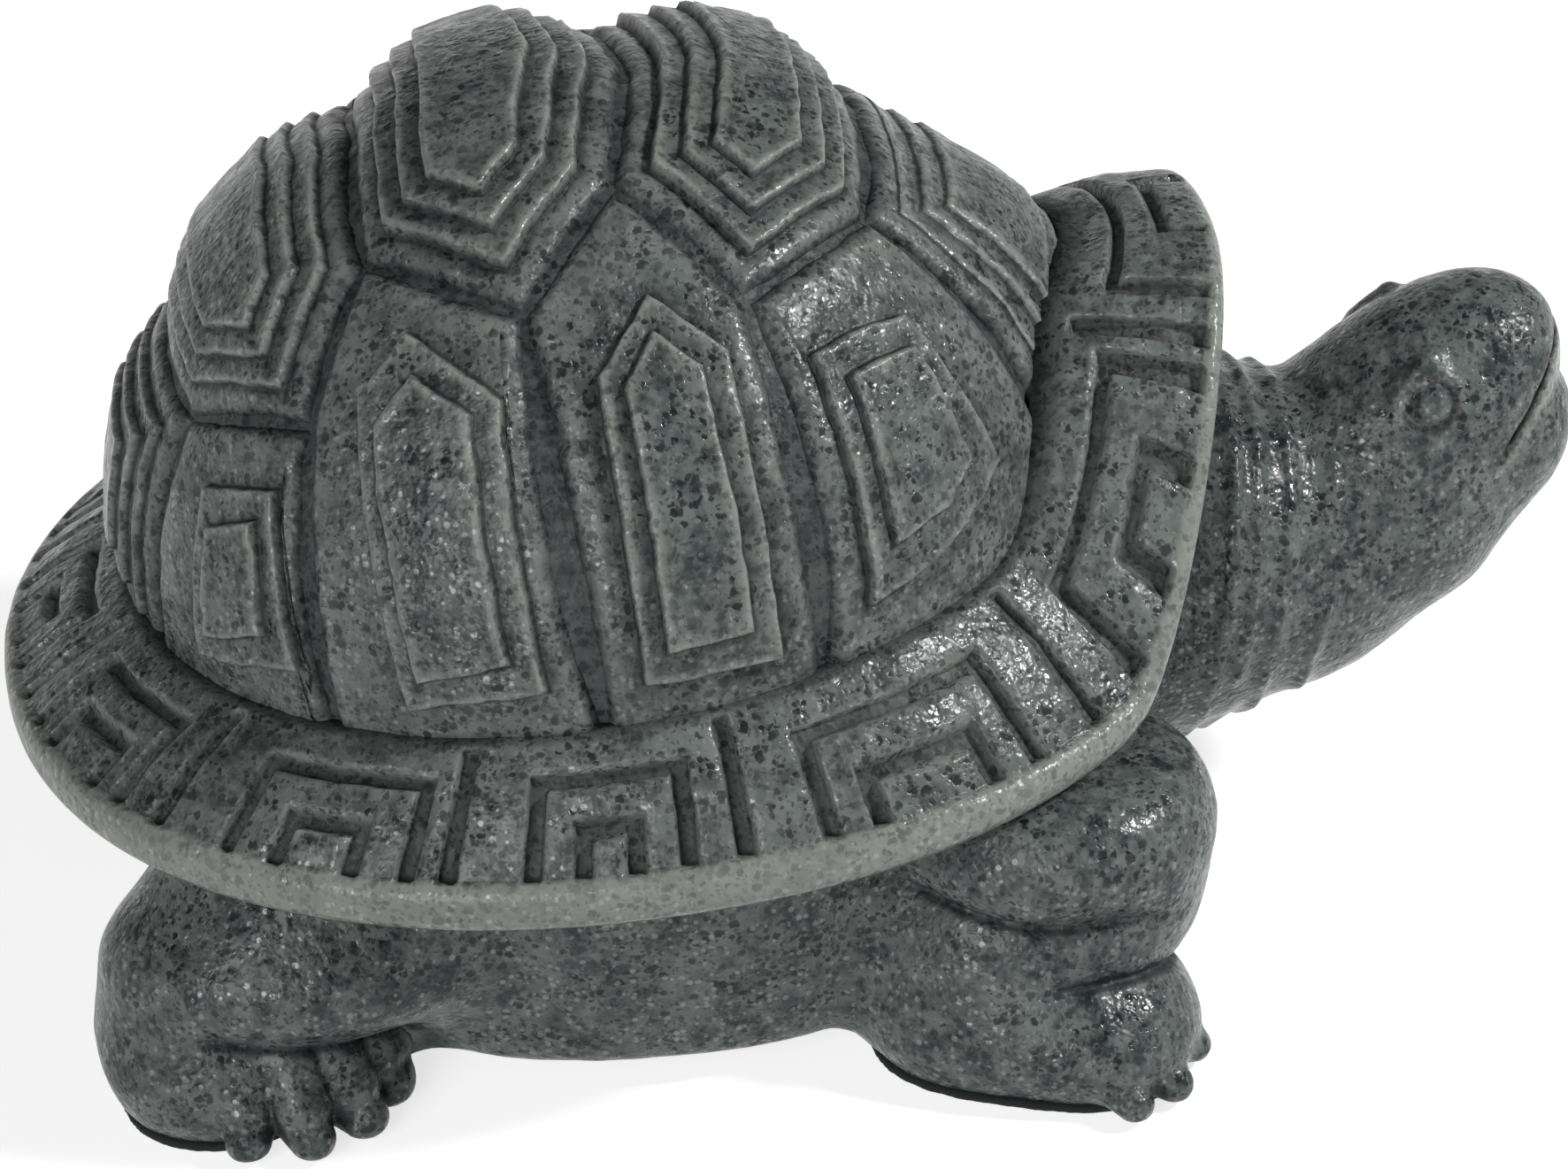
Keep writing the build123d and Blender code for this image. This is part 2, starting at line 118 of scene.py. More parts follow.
# Scutes, each corner an angle round the shell and a climb up the dome
V54, V43, V32, V21 = (156, 31), (133, 56), (73, 65), (31, 45)
V4_SIDE, V3_SIDE, V2_SIDE, V1_SIDE = (131, 36), (98, 50), (62, 45), (28, 34)
E_FOOT, F_FOOT, G_FOOT, H_FOOT, V1_FOOT = (160, -3), (126, -3), (94, -3), (69, -3), (25, 5)
SPINE_54, SPINE_43, SPINE_32, SPINE_21 = (180, 34), (180, 68), (0, 79), (0, 50)
SPINE_SCUTES = {
    "first": ((0, 16), V1_FOOT, V1_SIDE, V21, SPINE_21),
    "second": (SPINE_21, V21, V2_SIDE, V32, SPINE_32),
    "third": (SPINE_32, V32, V3_SIDE, V43, SPINE_43),
    "fourth": (SPINE_43, V43, V4_SIDE, V54, SPINE_54),
    "fifth": (SPINE_54, V54, E_FOOT, (180, -3)),
}
FLANK_SCUTES = {
    "front": (
        (H_FOOT, V2_SIDE, V21, V1_SIDE, V1_FOOT, (45, -3)),
        ((62, 6), (58, 36), (50, 36), (41.5, 34.5), (38.5, 13), (50, 8)),
        ((58, 12), (55, 32), (50, 32), (44, 31), (44, 16), (50, 13)),
    ),
    "second": (
        (G_FOOT, V3_SIDE, V32, V2_SIDE, H_FOOT),
        ((89, 5), (88, 41), (77, 49), (69, 40), (74, 4)),
        ((86, 9), (84.5, 39), (78.5, 44.5), (73.5, 39), (76.5, 9)),
    ),
    "third": (
        (F_FOOT, V4_SIDE, V43, V3_SIDE, G_FOOT),
        ((115.5, 4), (123, 40), (117, 48), (101.5, 40), (99.5, 6)),
        ((113.5, 8), (119, 37), (114.5, 43), (105.5, 38.5), (103, 10)),
    ),
    "rear": (
        (E_FOOT, V54, V4_SIDE, F_FOOT),
        ((146, 4), (146, 25.5), (133.5, 28), (129, 7)),
        ((143, 8), (143, 21.5), (135, 24), (133, 11)),
    ),
}
SCUTE_SAMPLE = 0.55
SCUTE_ROOT = 1.4
PLATE_LEVEL = 0.75
# Painted shade on the floor of the grooves between scutes
GROOVE_SHADE = 0.75
STEP_INSETS = (2.6, 4.6, 6.6)
STEP_LEVELS = (1.3, 1.85, 2.35)
STEP_RELIEF = {"first": 0.55, "second": 1.3, "third": 1.4, "fourth": 1.0, "fifth": 1.0}
SLAB_LEVEL, PANEL_LEVEL = 1.5, 2.15
WOBBLE = 0.13

# Edge of a scute, then foot and edge of each step on it: how far in, how high, wear and painted shade, which
# is darkest in the groove and at the foot of each step
PLATE_PROFILE = (
    (0.2, -SCUTE_ROOT, 0.0, GROOVE_SHADE),
    (0.25, 0.0, 0.0, GROOVE_SHADE),
    (0.65, PLATE_LEVEL * 0.6, 0.1, 0.45),
    (1.1, PLATE_LEVEL * 0.93, 0.35, 0.15),
    (1.6, PLATE_LEVEL, 0.3, 0.0),
)
STEP_FOOT_PROFILE = (
    (-0.42, 0.0, 0.0, 0.25),
    (-0.2, -0.1, 0.0, 0.9),
    (-0.08, 0.05, 0.0, 1.0),
)
STEP_EDGE_PROFILE = (
    (0.05, -0.12, 0.5, 0.2),
    (0.2, 0.08, 1.0, 0.0),
    (0.48, 0.06, 0.6, 0.0),
    (0.85, -0.02, 0.1, 0.05),
)
TREAD_INSET = 0.85
TREAD_SHARES = (0.7, 0.45, 0.2)

# Carved rim: each arch's middle and the half widths of its outer and inner grooves, in degrees
ARCHES = (
    (0, 15, 6),
    (31, 8.5, 3),
    (64, 10.3, 5.6),
    (94, 7, 2.4),
    (121, 8.8, 3.6),
    (152, 8.5, 4.5),
    (180, 8, 3.4),
)
BARS = (19.3, 46, 82, 108.5, 138, 166)
DEGREE_LENGTH = math.radians(1) * LIP_HALF_WIDTH * 0.95

# Where the grooves begin and end, as shares of the way from the foot of the dome to the lip
ARCH_TOP_SHARE, ARCH_INNER_TOP_SHARE, BAR_TOP_SHARE, GROOVE_END_SHARE = 0.31, 0.68, 0.05, 1.02
BAR_TOP_SOFT, GROOVE_END_SOFT = 0.02, 0.03
GROOVE_WIDTH = 1.25
GROOVE_WALL = 0.3
GROOVE_DEPTH = 1.05
RIM_BULGE = 0.5

# Body
TORSO_AT, TORSO_RADII = (1.5, 0, 21.4), (40, 35.5, 58)
TORSO_CEILING = 29.0
BELLY_LEVEL, BELLY_ROUND = 2.0, 2.5
NECK = (
    ((30, 0, 18.5), 15.2),
    ((47, 0, 24.4), 14.2),
    ((53.8, 0, 23.8), 11.6),
    ((61.4, 0, 28.2), 11.2),
)
NECK_FOLDS = (46.4, 48.4, 50.9, 54.4)
FOLD_DEPTH, FOLD_WIDTH = 0.5, 0.6
FOLD_LEVEL, FOLD_LEAN = 22, 0.12
HEAD_AT, HEAD_TILT = (64.7, 0, 34), 45
SKULL = ((0, 0, 0), (11.6, 9.2, 9.0))
SNOUT = ((6.1, 0, 0.2), (7.0, 6.4, 5.3))
JAW = ((1.9, 0, -4.9), (8.2, 7.8, 7.0))
BROW = ((4.4, 5.8, 5.8), 1.2, (1.2, 7.1, 5.6), 0.75)
CHEEK = ((4.4, 6.6, 0.6), (2.6, 1.6, 1.6))
EYE_AT, EYE_NORMAL = (2.4, 8.0, 4.3), (0.16, 0.86, 0.48)
EYE_RADIUS, EYE_SINK, EYE_RING = 1.9, 0.9, 1.75
LID_RADIUS, LID_OFFSET, LID_SINK, LID_THINNING = 0.42, 0.6, 0.55, 0.3
SOCKET_RADIUS, SOCKET_RISE, SOCKET_WIDENING = 0.32, 0.05, 0.22
MOUTH_FRONT, MOUTH_CORNER = (12.0, -1.9), (-1.3, -4.8)
MOUTH_GAP, MOUTH_DEPTH = 0.32, 1.5
SOLE_LEVEL = 0.7
CREASE_DEPTH, CREASE_WIDTH = 0.34, 0.4
FRONT_LEG = {
    "upper": ((30.4, 28.0, 18.4), (12.2, 11.6, 7.8)),
    "roll": ((29.2, 28.6, 11.6), (12.2, 10.4, 8.2)),
    "foot": ((28.0, 31.2, 4.4), (11.8, 9.8, 7.2)),
    "heel": ((23.0, 30.6, 4.8), (7.8, 7.6, 7.4)),
    "ball": ((33.0, 34.0, 3.6), (7.6, 8.2, 5.2)),
    "yaw": 38,
    "ceiling": 23.6,
    "roll_crease": (31, 25),
    "upper_crease": (33, 39),
    "toes": ((34.6, 44.0), (38.2, 41.9), (40.9, 37.0), (41.2, 30.8)),
    "toe_reach": (7.0, 3.6),
    "toe_levels": (6.7, 3.7),
    "toe_radii": (2.5, 2.05),
    "claw_levels": (2.3, 1.8),
    "claw_radii": (1.8, 1.4),
}
REAR_LEG = {
    "upper": ((-23.4, 24.0, 17.5), (11.5, 9.5, 7.0)),
    "roll": ((-25.6, 26.5, 12.5), (14.4, 11.0, 6.6)),
    "foot": ((-29.8, 26.3, 5.0), (9.4, 11.6, 7.4)),
    "heel": ((-32.0, 25.4, 5.8), (9.2, 8.8, 7.8)),
    "ball": ((-32.8, 29.4, 3.8), (7.2, 6.6, 5.8)),
    "yaw": 58,
    "ceiling": 22.0,
    "roll_crease": (-31, -36),
    "upper_crease": (-60, -50),
    "toes": ((-30.8, 38.6), (-25.5, 39.0), (-21.0, 36.6), (-18.6, 32.7)),
    "toe_reach": (5.8, 3.3),
    "toe_levels": (7.4, 3.8),
    "toe_radii": (2.5, 2.3),
    "claw_levels": (2.2, 1.8),
    "claw_radii": (2.05, 1.75),
}
TAIL = ((-36, 0, 12.2), 4.2, (-42.0, 0, 11.2), 2.3)
# Pads, spread nearly to each foot's outline so that their near-black colour also paints the shadow under the
# feet
PAD_INSET = 0.1
PAD_OUTLINE_LEVEL = SOLE_LEVEL + 0.6
PAD_MARGIN = 0.25
# How far out the body's hollows are sought for painted shade, and how far in its ridges are sought for wear
HOLLOW_REACHES, RIDGE_REACH = (1.6, 0.6), 1.2

# Widths of the cells that the meshes of the body are drawn with
TORSO_CELL, BODY_CELL, PAD_CELL = 0.6, 0.34, 0.24


# Numbers and noise
def noise(points, size, seed):
    """Smooth noise from -1 to 1 that changes over about size millimetres."""
    place = np.asarray(points, float) / size + 11.7 * seed
    cell = np.floor(place).astype(np.int64)
    part = place - cell
    part = part * part * (3 - 2 * part)
    total = np.zeros(place.shape[:-1])
    for corner in itertools.product((0, 1), repeat=3):
        at = cell + np.array(corner)
        mix = (at[..., 0] * 73856093) ^ (at[..., 1] * 19349663) ^ (at[..., 2] * 83492791) ^ (seed * 2654435)
        mix = ((mix ^ (mix >> 13)) * 1274126177) & 0xFFFFFFFF
        value = ((mix ^ (mix >> 16)) & 0xFFFF) / 0xFFFF
        share = np.prod(np.where(corner, part, 1 - part), axis=-1)
        total += share * value
    return total * 2 - 1


def step(low, high, value):
    """Smooth step from 0 at low to 1 at high."""
    t = np.clip((value - low) / (high - low), 0, 1)
    return t * t * (3 - 2 * t)


# Meshes
def add_piece(name, node, slot, material, vertices, faces, wear, hollow_shade):
    """Mesh object in place of a CAD node, with its wear and its painted shade in hollows as attributes."""
    mesh = bpy.data.meshes.new(name)
    places = (np.asarray(vertices) + np.array((SHELL_MIDDLE, 0, 0))) * MM
    mesh.from_pydata(places.tolist(), [], faces)
    mesh.polygons.foreach_set("use_smooth", [True] * len(mesh.polygons))
    for label, values in (("wear", wear), ("hollow_shade", hollow_shade)):
        attribute = mesh.attributes.new(label, "FLOAT", "POINT")
        attribute.data.foreach_set("value", np.clip(values, 0, 1).astype(np.float32))
    mesh.materials.append(material)
    mesh.validate()
    piece = bpy.data.objects.new(name, mesh)
    bpy.context.scene.collection.objects.link(piece)
    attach(piece, "root")
    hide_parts(node)
    return piece


def grid_faces(rows, columns):
    """Quads between closed rows of points that follow each other."""
    faces = []
    for row in range(rows - 1):
        low = row * columns
        for column in range(columns):
            right = (column + 1) % columns
            faces.append((low + column, low + right, low + columns + right, low + columns + column))
    return faces


# Shell surfaces
def hood_share(angle):
    """How far the hood rises at an angle: 1 over the neck, 0 at its ends."""
    turn = (angle + 180) % 360 - 180
    part = np.minimum(np.abs(turn) / HOOD_HALF_ANGLE, 1)
    return np.cos(np.radians(90 * part ** np.where(turn < 0, HOOD_FAR_FLATNESS, HOOD_FLATNESS))) ** 2


def round_shell(angle):
    """Forward and sideways parts of an angle round the shell."""
    return np.cos(np.radians(angle)), -np.sin(np.radians(angle))


def foot_line(angle):
    """Where the dome meets the rim."""
    c, s = round_shell(angle)
    climb = HOOD_FOOT_RISE * hood_share(angle)
    inwards = np.sqrt(1 - (climb / DOME_RADII[2]) ** 2)
    level = DOME_LEVEL + math.tan(math.radians(SHELL_PITCH)) * DOME_RADII[0] * c + climb
    bulge = np.where(c > 0, FRONT_BULGE * np.exp(-((s / FRONT_SPREAD) ** 2)), 0)
    return np.stack((DOME_RADII[0] * c * inwards + bulge, DOME_RADII[1] * s * inwards, level), -1)


def lip_line(angle):
    """Lower edge of the rim's lip."""
    c, s = round_shell(angle)
    level = LIP_LEVEL + math.tan(math.radians(SHELL_PITCH)) * LIP_HALF_LENGTH * c
    level = level + HOOD_RISE * hood_share(angle) + REAR_KICK * ((1 - c) / 2) ** 2
    full = 1 + np.where(c > 0, RIM_FULLNESS, RIM_REAR_FULLNESS) * (2 * s * c) ** 2
    return np.stack((LIP_HALF_LENGTH * c * full, LIP_HALF_WIDTH * s * full, level - lip_drop(angle)), -1)


def lip_drop(angle):
    """How much lower the lip hangs on the flanks and at the rear than at the front."""
    return LIP_DROP * step(30, 75, np.abs((angle + 180) % 360 - 180))


def dome_rays(corners):
    """Headings of corners, each given by an angle and a climb."""
    angle, climb = np.radians(np.asarray(corners, float)).T
    return np.stack((np.cos(angle) * np.cos(climb), -np.sin(angle) * np.cos(climb), np.sin(climb)), -1)


def on_dome(rays, level):
    """Points level millimetres above the floor of the grooves."""
    pitch = math.radians(SHELL_PITCH)
    c, s = math.cos(pitch), math.sin(pitch)
    turn = np.array(((c, 0, -s), (0, 1, 0), (s, 0, c)))
    bulge = FRONT_BULGE * np.exp(-((rays[..., 1] / FRONT_SPREAD) ** 2)) * step(0.7, 0.95, rays[..., 0])
    grown = DOME_RADII + (np.asarray(level) + bulge - GROOVE_SINK)[..., None]
    return (rays * grown) @ turn.T + np.array((0, 0, DOME_LEVEL))


# Scutes
class Flat:
    """Flat map of the dome about the middle of one scute, true to distance from there."""

    def __init__(self, rays):
        middle = rays.mean(0)
        self.middle = middle / np.linalg.norm(middle)
        away = np.array((0.0, 1.0, 0.0)) if abs(self.middle[1]) < 0.9 else np.array((1.0, 0.0, 0.0))
        across = np.cross(away, self.middle)
        self.across = across / np.linalg.norm(across)
        self.along = np.cross(self.middle, self.across)
        self.radius = DOME_RADII.mean()

    def lay(self, rays):
        far = np.arccos(np.clip(rays @ self.middle, -1, 1)) * self.radius
        heading = np.stack((rays @ self.across, rays @ self.along), -1)
        size = np.linalg.norm(heading, axis=-1)
        return heading * (far / np.maximum(size, 1e-9))[..., None]

    def lift(self, places):
        far = np.linalg.norm(places, axis=-1)
        turn = far / self.radius
        heading = places / np.maximum(far, 1e-9)[..., None]
        flat = heading[..., :1] * self.across + heading[..., 1:] * self.along
        return np.cos(turn)[..., None] * self.middle + np.sin(turn)[..., None] * flat


def inset(outline, depth):
    """Corners of an outline moved in by depth, with its sides kept parallel."""
    ahead = np.roll(outline, -1, 0) - outline
    ahead = ahead / np.linalg.norm(ahead, axis=1, keepdims=True)
    inwards = np.stack((-ahead[:, 1], ahead[:, 0]), -1)
    behind = np.roll(inwards, 1, 0)
    mitre = inwards + behind
    mitre = mitre / np.maximum((mitre * inwards).sum(1, keepdims=True), 0.25)
    return outline + mitre * depth


def ring(corners, counts):
    """Points along the sides between corners."""
    points = []
    for index, count in enumerate(counts):
        shares = np.arange(count)[:, None] / count
        points.append(corners[index] * (1 - shares) + corners[(index + 1) % len(corners)] * shares)
    return np.concatenate(points)


def profile_rings(outline, base, profile):
    """Rings along an outline, each with its level, wear and painted shade, that follow a profile above a
    base.
    """
    return [(inset(outline, far), base + rise, worn, dark) for far, rise, worn, dark in profile]


def scute_rings(places, steps, flat, order):
    """Rings of a scute from its root up, and the middle and the level of its last tread."""
    rings = profile_rings(places, 0.0, PLATE_PROFILE)
    low = PLATE_LEVEL
    for shape, high in steps:
        corners = inset(places, shape) if np.isscalar(shape) else flat.lay(dome_rays(shape))[::order]
        rings += profile_rings(corners, low, STEP_FOOT_PROFILE)
        rings += profile_rings(corners, high, STEP_EDGE_PROFILE)
        low = high
    middle = corners.mean(0)
    tread = inset(corners, TREAD_INSET)
    for share in TREAD_SHARES:
        rings.append((middle + (tread - middle) * share, low - 0.05 * share, 0.0, 0.0))
    return rings, middle, low


def roughened(flat, points, level, worn, dark, seed):
    """One ring on the dome, wobbling and chipped where it is worn: places, wear and painted shade, which is
    darker in the chips.
    """
    smooth = on_dome(flat.lift(points), np.zeros(len(points)))
    across = noise(smooth, 1.3, seed) + noise(smooth, 3.1, seed + 1)
    along = noise(smooth, 1.3, seed + 2) + noise(smooth, 3.1, seed + 3)
    points = points + np.stack((across, along), -1) * WOBBLE
    chip = np.maximum(0, noise(smooth, 1.7, seed + 4) - 0.45) * worn * 0.7
    lift = level + 0.1 * noise(smooth, 5.0, 90) + 0.05 * noise(smooth, 1.1, 91) - chip
    places = on_dome(flat.lift(points), np.where(level < 0, level, lift))
    wear = np.full(len(points), worn) * (0.7 + 0.3 * noise(smooth, 2.2, seed + 5))
    return places, wear, np.full(len(points), dark) + chip


def cap_faces(rows, columns):
    """Triangles from the first and the last row of a closed grid to the two points after the grid."""
    bottom, top = rows * columns, rows * columns + 1
    last = (rows - 1) * columns
    faces = []
    for column in range(columns):
        right = (column + 1) % columns
        faces.append((bottom, right, column))
        faces.append((top, last + column, last + right))
    return faces


def scute(outline, steps, seed):
    """One closed, stepped scute: vertices, faces, wear and painted shade."""
    rays = dome_rays(outline)
    flat = Flat(rays)
    places = flat.lay(rays)
    order = -1 if np.cross(places, np.roll(places, -1, 0)).sum() < 0 else 1
    places = places[::order]
    sides = np.linalg.norm(np.roll(places, -1, 0) - places, axis=1)
    counts = np.maximum(3, np.round(sides / SCUTE_SAMPLE)).astype(int)
    rings, middle, level = scute_rings(places, steps, flat, order)
    made = [roughened(flat, ring(corners, counts), *rest, seed) for corners, *rest in rings]
    vertices, wear, hollow_shade = (list(parts) for parts in zip(*made))
    vertices.append(on_dome(flat.lift(places.mean(0)[None]), np.array([-SCUTE_ROOT])))
    vertices.append(on_dome(flat.lift(middle[None]), np.array([level])))
    ends = [np.zeros(2)]
    rows, columns = len(rings), int(counts.sum())
    faces = grid_faces(rows, columns) + cap_faces(rows, columns)
    return np.concatenate(vertices), faces, np.concatenate(wear + ends), np.concatenate(hollow_shade + ends)


def mirrored(corners):
    """Corners of the same outline on the other side of the shell."""
    return tuple((-angle, climb) for angle, climb in corners)


def dome_core():
    """Closed dome whose surface is the floor of the grooves, with painted shade all over."""
    climbs = np.arange(DOME_FOOT_CLIMB, DOME_TOP_CLIMB - 2 * DOME_CLIMB_STEP, DOME_CLIMB_STEP)
    climbs = np.append(climbs, DOME_TOP_CLIMB)
    angles = np.arange(0, 360, DOME_ANGLE_STEP)
    spread = np.stack(np.meshgrid(climbs, angles, indexing="ij"), -1)[..., ::-1].reshape(-1, 2)
    rays = dome_rays(spread)
    smooth = on_dome(rays, np.zeros(len(rays)))
    vertices = on_dome(rays, 0.12 * noise(smooth, 1.6, 40) + 0.1 * noise(smooth, 4.0, 41))
    columns, rows = len(angles), len(climbs)
    faces = [face[::-1] for face in grid_faces(rows, columns)]
    faces.append(tuple(range(columns)))
    faces.append(tuple(reversed(range((rows - 1) * columns, rows * columns))))
    return vertices, faces, np.zeros(len(vertices)), np.full(len(vertices), GROOVE_SHADE)


def join(shells):
    """One mesh from several closed shells."""
    vertices, faces, wear, hollow_shade = [], [], [], []
    start = 0
    for points, quads, worn, dark in shells:
        vertices.append(points)
        faces += [tuple(start + index for index in face) for face in quads]
        wear.append(worn)
        hollow_shade.append(dark)
        start += len(points)
    return np.concatenate(vertices), faces, np.concatenate(wear), np.concatenate(hollow_shade)


def dome():
    """Dome with its five spine scutes and with four flank scutes on each side."""
    shells = [dome_core()]
    seed = 100
    for label, half in SPINE_SCUTES.items():
        whole = half + tuple(corner for corner in mirrored(half)[::-1] if corner[0] not in (0, -180))
        levels = [level * STEP_RELIEF[label] for level in STEP_LEVELS]
        shells.append(scute(whole, tuple(zip(STEP_INSETS, levels)), seed))
        seed += 10
    for outline, slab, panel in FLANK_SCUTES.values():
        shells.append(scute(outline, ((slab, SLAB_LEVEL), (panel, PANEL_LEVEL)), seed))
        seed += 10
        left = (mirrored(outline), ((mirrored(slab), SLAB_LEVEL), (mirrored(panel), PANEL_LEVEL)))
        shells.append(scute(*left, seed))
        seed += 10
    return join(shells)


# Rim
def groove_edges(lines, width):
    """Places of the grid lines that carry both walls of each groove."""
    walls = (-width - GROOVE_WALL, -width - GROOVE_WALL / 3, -width + GROOVE_WALL / 3, -width + GROOVE_WALL)
    return [line + sign * wall for line in lines for sign in (-1, 1) for wall in walls]


def spaced(values, least):
    """Sorted values with those that lie closer than least to the one before left out."""
    kept = []
    for value in sorted(values):
        if not kept or value - kept[-1] >= least:
            kept.append(value)
    return np.array(kept)


def rim_grooves(angle, share, band):
    """How deep the carving is, from 0 on a plate to 1 on a groove's floor."""
    cut = np.zeros(np.broadcast(angle, share).shape)
    half = GROOVE_WIDTH / 2
    end = 1 - step(GROOVE_END_SHARE - GROOVE_END_SOFT, GROOVE_END_SHARE, share)
    for middle, outer, inner in ARCHES:
        away = np.abs((angle - middle + 180) % 360 - 180)
        for reach, top in ((outer, ARCH_TOP_SHARE), (inner, ARCH_INNER_TOP_SHARE)):
            line = np.maximum((away - reach) * DEGREE_LENGTH, (top - share) * band)
            cut = np.maximum(cut, 1 - step(half - GROOVE_WALL / 2, half + GROOVE_WALL / 2, np.abs(line)))
    for bar in BARS:
        away = np.abs((angle - bar + 180) % 360 - 180) * DEGREE_LENGTH
        groove = 1 - step(half - GROOVE_WALL / 2, half + GROOVE_WALL / 2, away)
        below = step(BAR_TOP_SHARE - BAR_TOP_SOFT, BAR_TOP_SHARE + BAR_TOP_SOFT, share)
        cut = np.maximum(cut, groove * below)
    return cut * end


def rim_angles():
    """Angles round the rim, close together at the walls of the grooves."""
    lines = list(BARS)
    for middle, outer, inner in ARCHES:
        lines += [middle - outer, middle + outer, middle - inner, middle + inner]
    angles = [*np.arange(0, 180.01, 0.8), *groove_edges(lines, GROOVE_WIDTH / 2 / DEGREE_LENGTH)]
    right = spaced([angle for angle in angles if 0 <= angle <= 180], 0.11)
    return np.concatenate((right, 360 - right[-2:0:-1]))


def rim_shares(band):
    """Shares of the way across the carved band, close together at the walls of the grooves."""
    edges = groove_edges((ARCH_TOP_SHARE, ARCH_INNER_TOP_SHARE), GROOVE_WIDTH / 2 / band)
    edges += [BAR_TOP_SHARE - BAR_TOP_SOFT, BAR_TOP_SHARE + BAR_TOP_SOFT, GROOVE_END_SHARE - GROOVE_END_SOFT]
    shares = [*np.linspace(0, 1, 22), *edges]
    return spaced([value for value in shares if 0 <= value <= 1], 0.009)


def unit(vectors):
    return vectors / np.linalg.norm(vectors, axis=1, keepdims=True)


class RimLines:
    """Lines round the rim: the foot of the dome, the lip's lower edge and the end of the carved band."""

    def __init__(self, angle):
        self.angle = angle
        self.foot, self.lip = foot_line(angle), lip_line(angle)
        self.across = unit((self.lip - self.foot) * np.array((1, 1, 0)))
        self.height = (LIP_HEIGHT + lip_drop(angle))[:, None]
        self.end = self.lip - self.across * LIP_ROUND + UP * self.height
        self.band = float(np.linalg.norm(self.end - self.foot, axis=1).mean())
        ahead = np.roll(self.end, -1, 0) - np.roll(self.end, 1, 0)
        outwards = unit(np.cross(ahead, unit(self.end - self.foot)))
        self.outwards = outwards * np.sign((outwards * (self.across + UP)).sum(1, keepdims=True))


def carved_rows(lines):
    """Rows of the carved band, from the foot of the dome to the lip: places, wear and painted shade, darkest
    in the grooves and at the foot of the dome.
    """
    share = rim_shares(lines.band)
    cut = rim_grooves((lines.angle + 180) % 360 - 180, share[:, None], lines.band)
    cut = np.maximum(cut, rim_grooves(180 - (lines.angle + 180) % 360, share[:, None], lines.band))
    flat = lines.foot[None] + (lines.end - lines.foot)[None] * share[:, None, None]
    wobble = np.stack([noise(flat, 1.4, 60 + axis) + noise(flat, 4.0, 64 + axis) for axis in range(3)], -1)
    level = RIM_BULGE * np.sin(math.pi * share)[:, None]
    level = level + 0.14 * noise(flat, 4.5, 70) + 0.05 * noise(flat, 1.0, 71)
    level = level - cut * (GROOVE_DEPTH + 0.2 * noise(flat, 3.0, 72))
    surface = flat + lines.outwards[None] * level[..., None] + wobble * WOBBLE * 0.7
    edge = np.abs(np.gradient(cut, axis=1)) + np.abs(np.gradient(cut, axis=0))
    worn = np.clip(edge, 0, 1) * (1 - cut) * (0.5 + 0.5 * noise(flat, 3.5, 73)) + 0.12
    # Painted shade where the band meets the dome
    at_foot = 0.8 * (1 - step(0, 0.07, share))[:, None]
    return list(zip(surface, worn, np.maximum(cut * 0.9, at_foot)))


def lip_rows(lines):
    """Rows down the plain lip and round its lower edge: places, wear and painted shade, which grows under
    the edge.
    """
    rows = []
    for turn in np.radians(np.linspace(25, 90, 5)):
        side, rise = 1 - math.cos(turn), math.sin(turn)
        place = lines.lip - lines.across * LIP_ROUND * (1 - rise) + UP * (lines.height - LIP_ROUND * side)
        rough = lines.outwards * 0.08 * noise(place, 3.0, 74)[:, None]
        rows.append((place + rough, LIP_WEAR, 0.0))
    for turn in np.radians(np.linspace(0, 90, 6)):
        side, rise = math.cos(turn), 1 - math.sin(turn)
        place = lines.lip - lines.across * LIP_ROUND * (1 - side) + UP * LIP_ROUND * rise
        rows.append((place, LIP_WEAR * side, 0.3 * (1 - side)))
    return rows


def under_rows(lines, edge):
    """Rows of the underside, from the lip's edge to the wall behind the dome: places, wear and painted
    shade, dark all over.
    """
    level = np.minimum(lines.lip[:, 2] + RIM_UNDERCUT, lines.foot[:, 2] - RIM_WALL)
    below = np.stack((lines.foot[:, 0], lines.foot[:, 1], level), -1)
    rows = []
    for part in (0.3, 0.65, 1.0):
        edge = edge * (1 - part) + below * part
        rows.append((edge, 0.0, 0.6))
    rows.append((below - lines.across * RIM_ROOT, 0.0, 1.0))
    return rows


def rim():
    """Flared rim: the carved band, the plain lip, the underside and the wall behind the dome."""
    lines = RimLines(rim_angles())
    # The rim's root behind the dome is fully in painted shade
    rows = [(lines.foot - lines.across * RIM_ROOT, 0.0, 1.0)]
    rows += carved_rows(lines)
    rows += lip_rows(lines)
    rows += under_rows(lines, rows[-1][0])
    count = len(lines.angle)
    faces = grid_faces(len(rows), count)
    last = (len(rows) - 1) * count
    faces += [(last + i, last + (i + 1) % count, (i + 1) % count, i) for i in range(count)]
    places, wear, hollow_shade = zip(*rows)
    wear, hollow_shade = ([np.broadcast_to(row, count) for row in part] for part in (wear, hollow_shade))
    return np.concatenate(places), faces, np.concatenate(wear), np.concatenate(hollow_shade)


# Rounded forms as distance fields, with y as the distance to either side
def ball(points, middle, radii):
    """Near distance to an ellipsoid."""
    radii = np.array(radii, float)
    scaled = (points - np.array(middle, float)) / radii
    near = np.linalg.norm(scaled, axis=-1)
    return near * (near - 1) / np.maximum(np.linalg.norm(scaled / radii, axis=-1), 1e-6)


def limb(points, start, start_radius, end, end_radius):
    """Distance to a round limb that runs from one radius to another."""
    start, end = np.array(start, float), np.array(end, float)
    along = end - start
    share = np.clip(((points - start) @ along) / (along @ along), 0, 1)
    near = np.linalg.norm(points - start - share[..., None] * along, axis=-1)
    return near - (start_radius + share * (end_radius - start_radius))


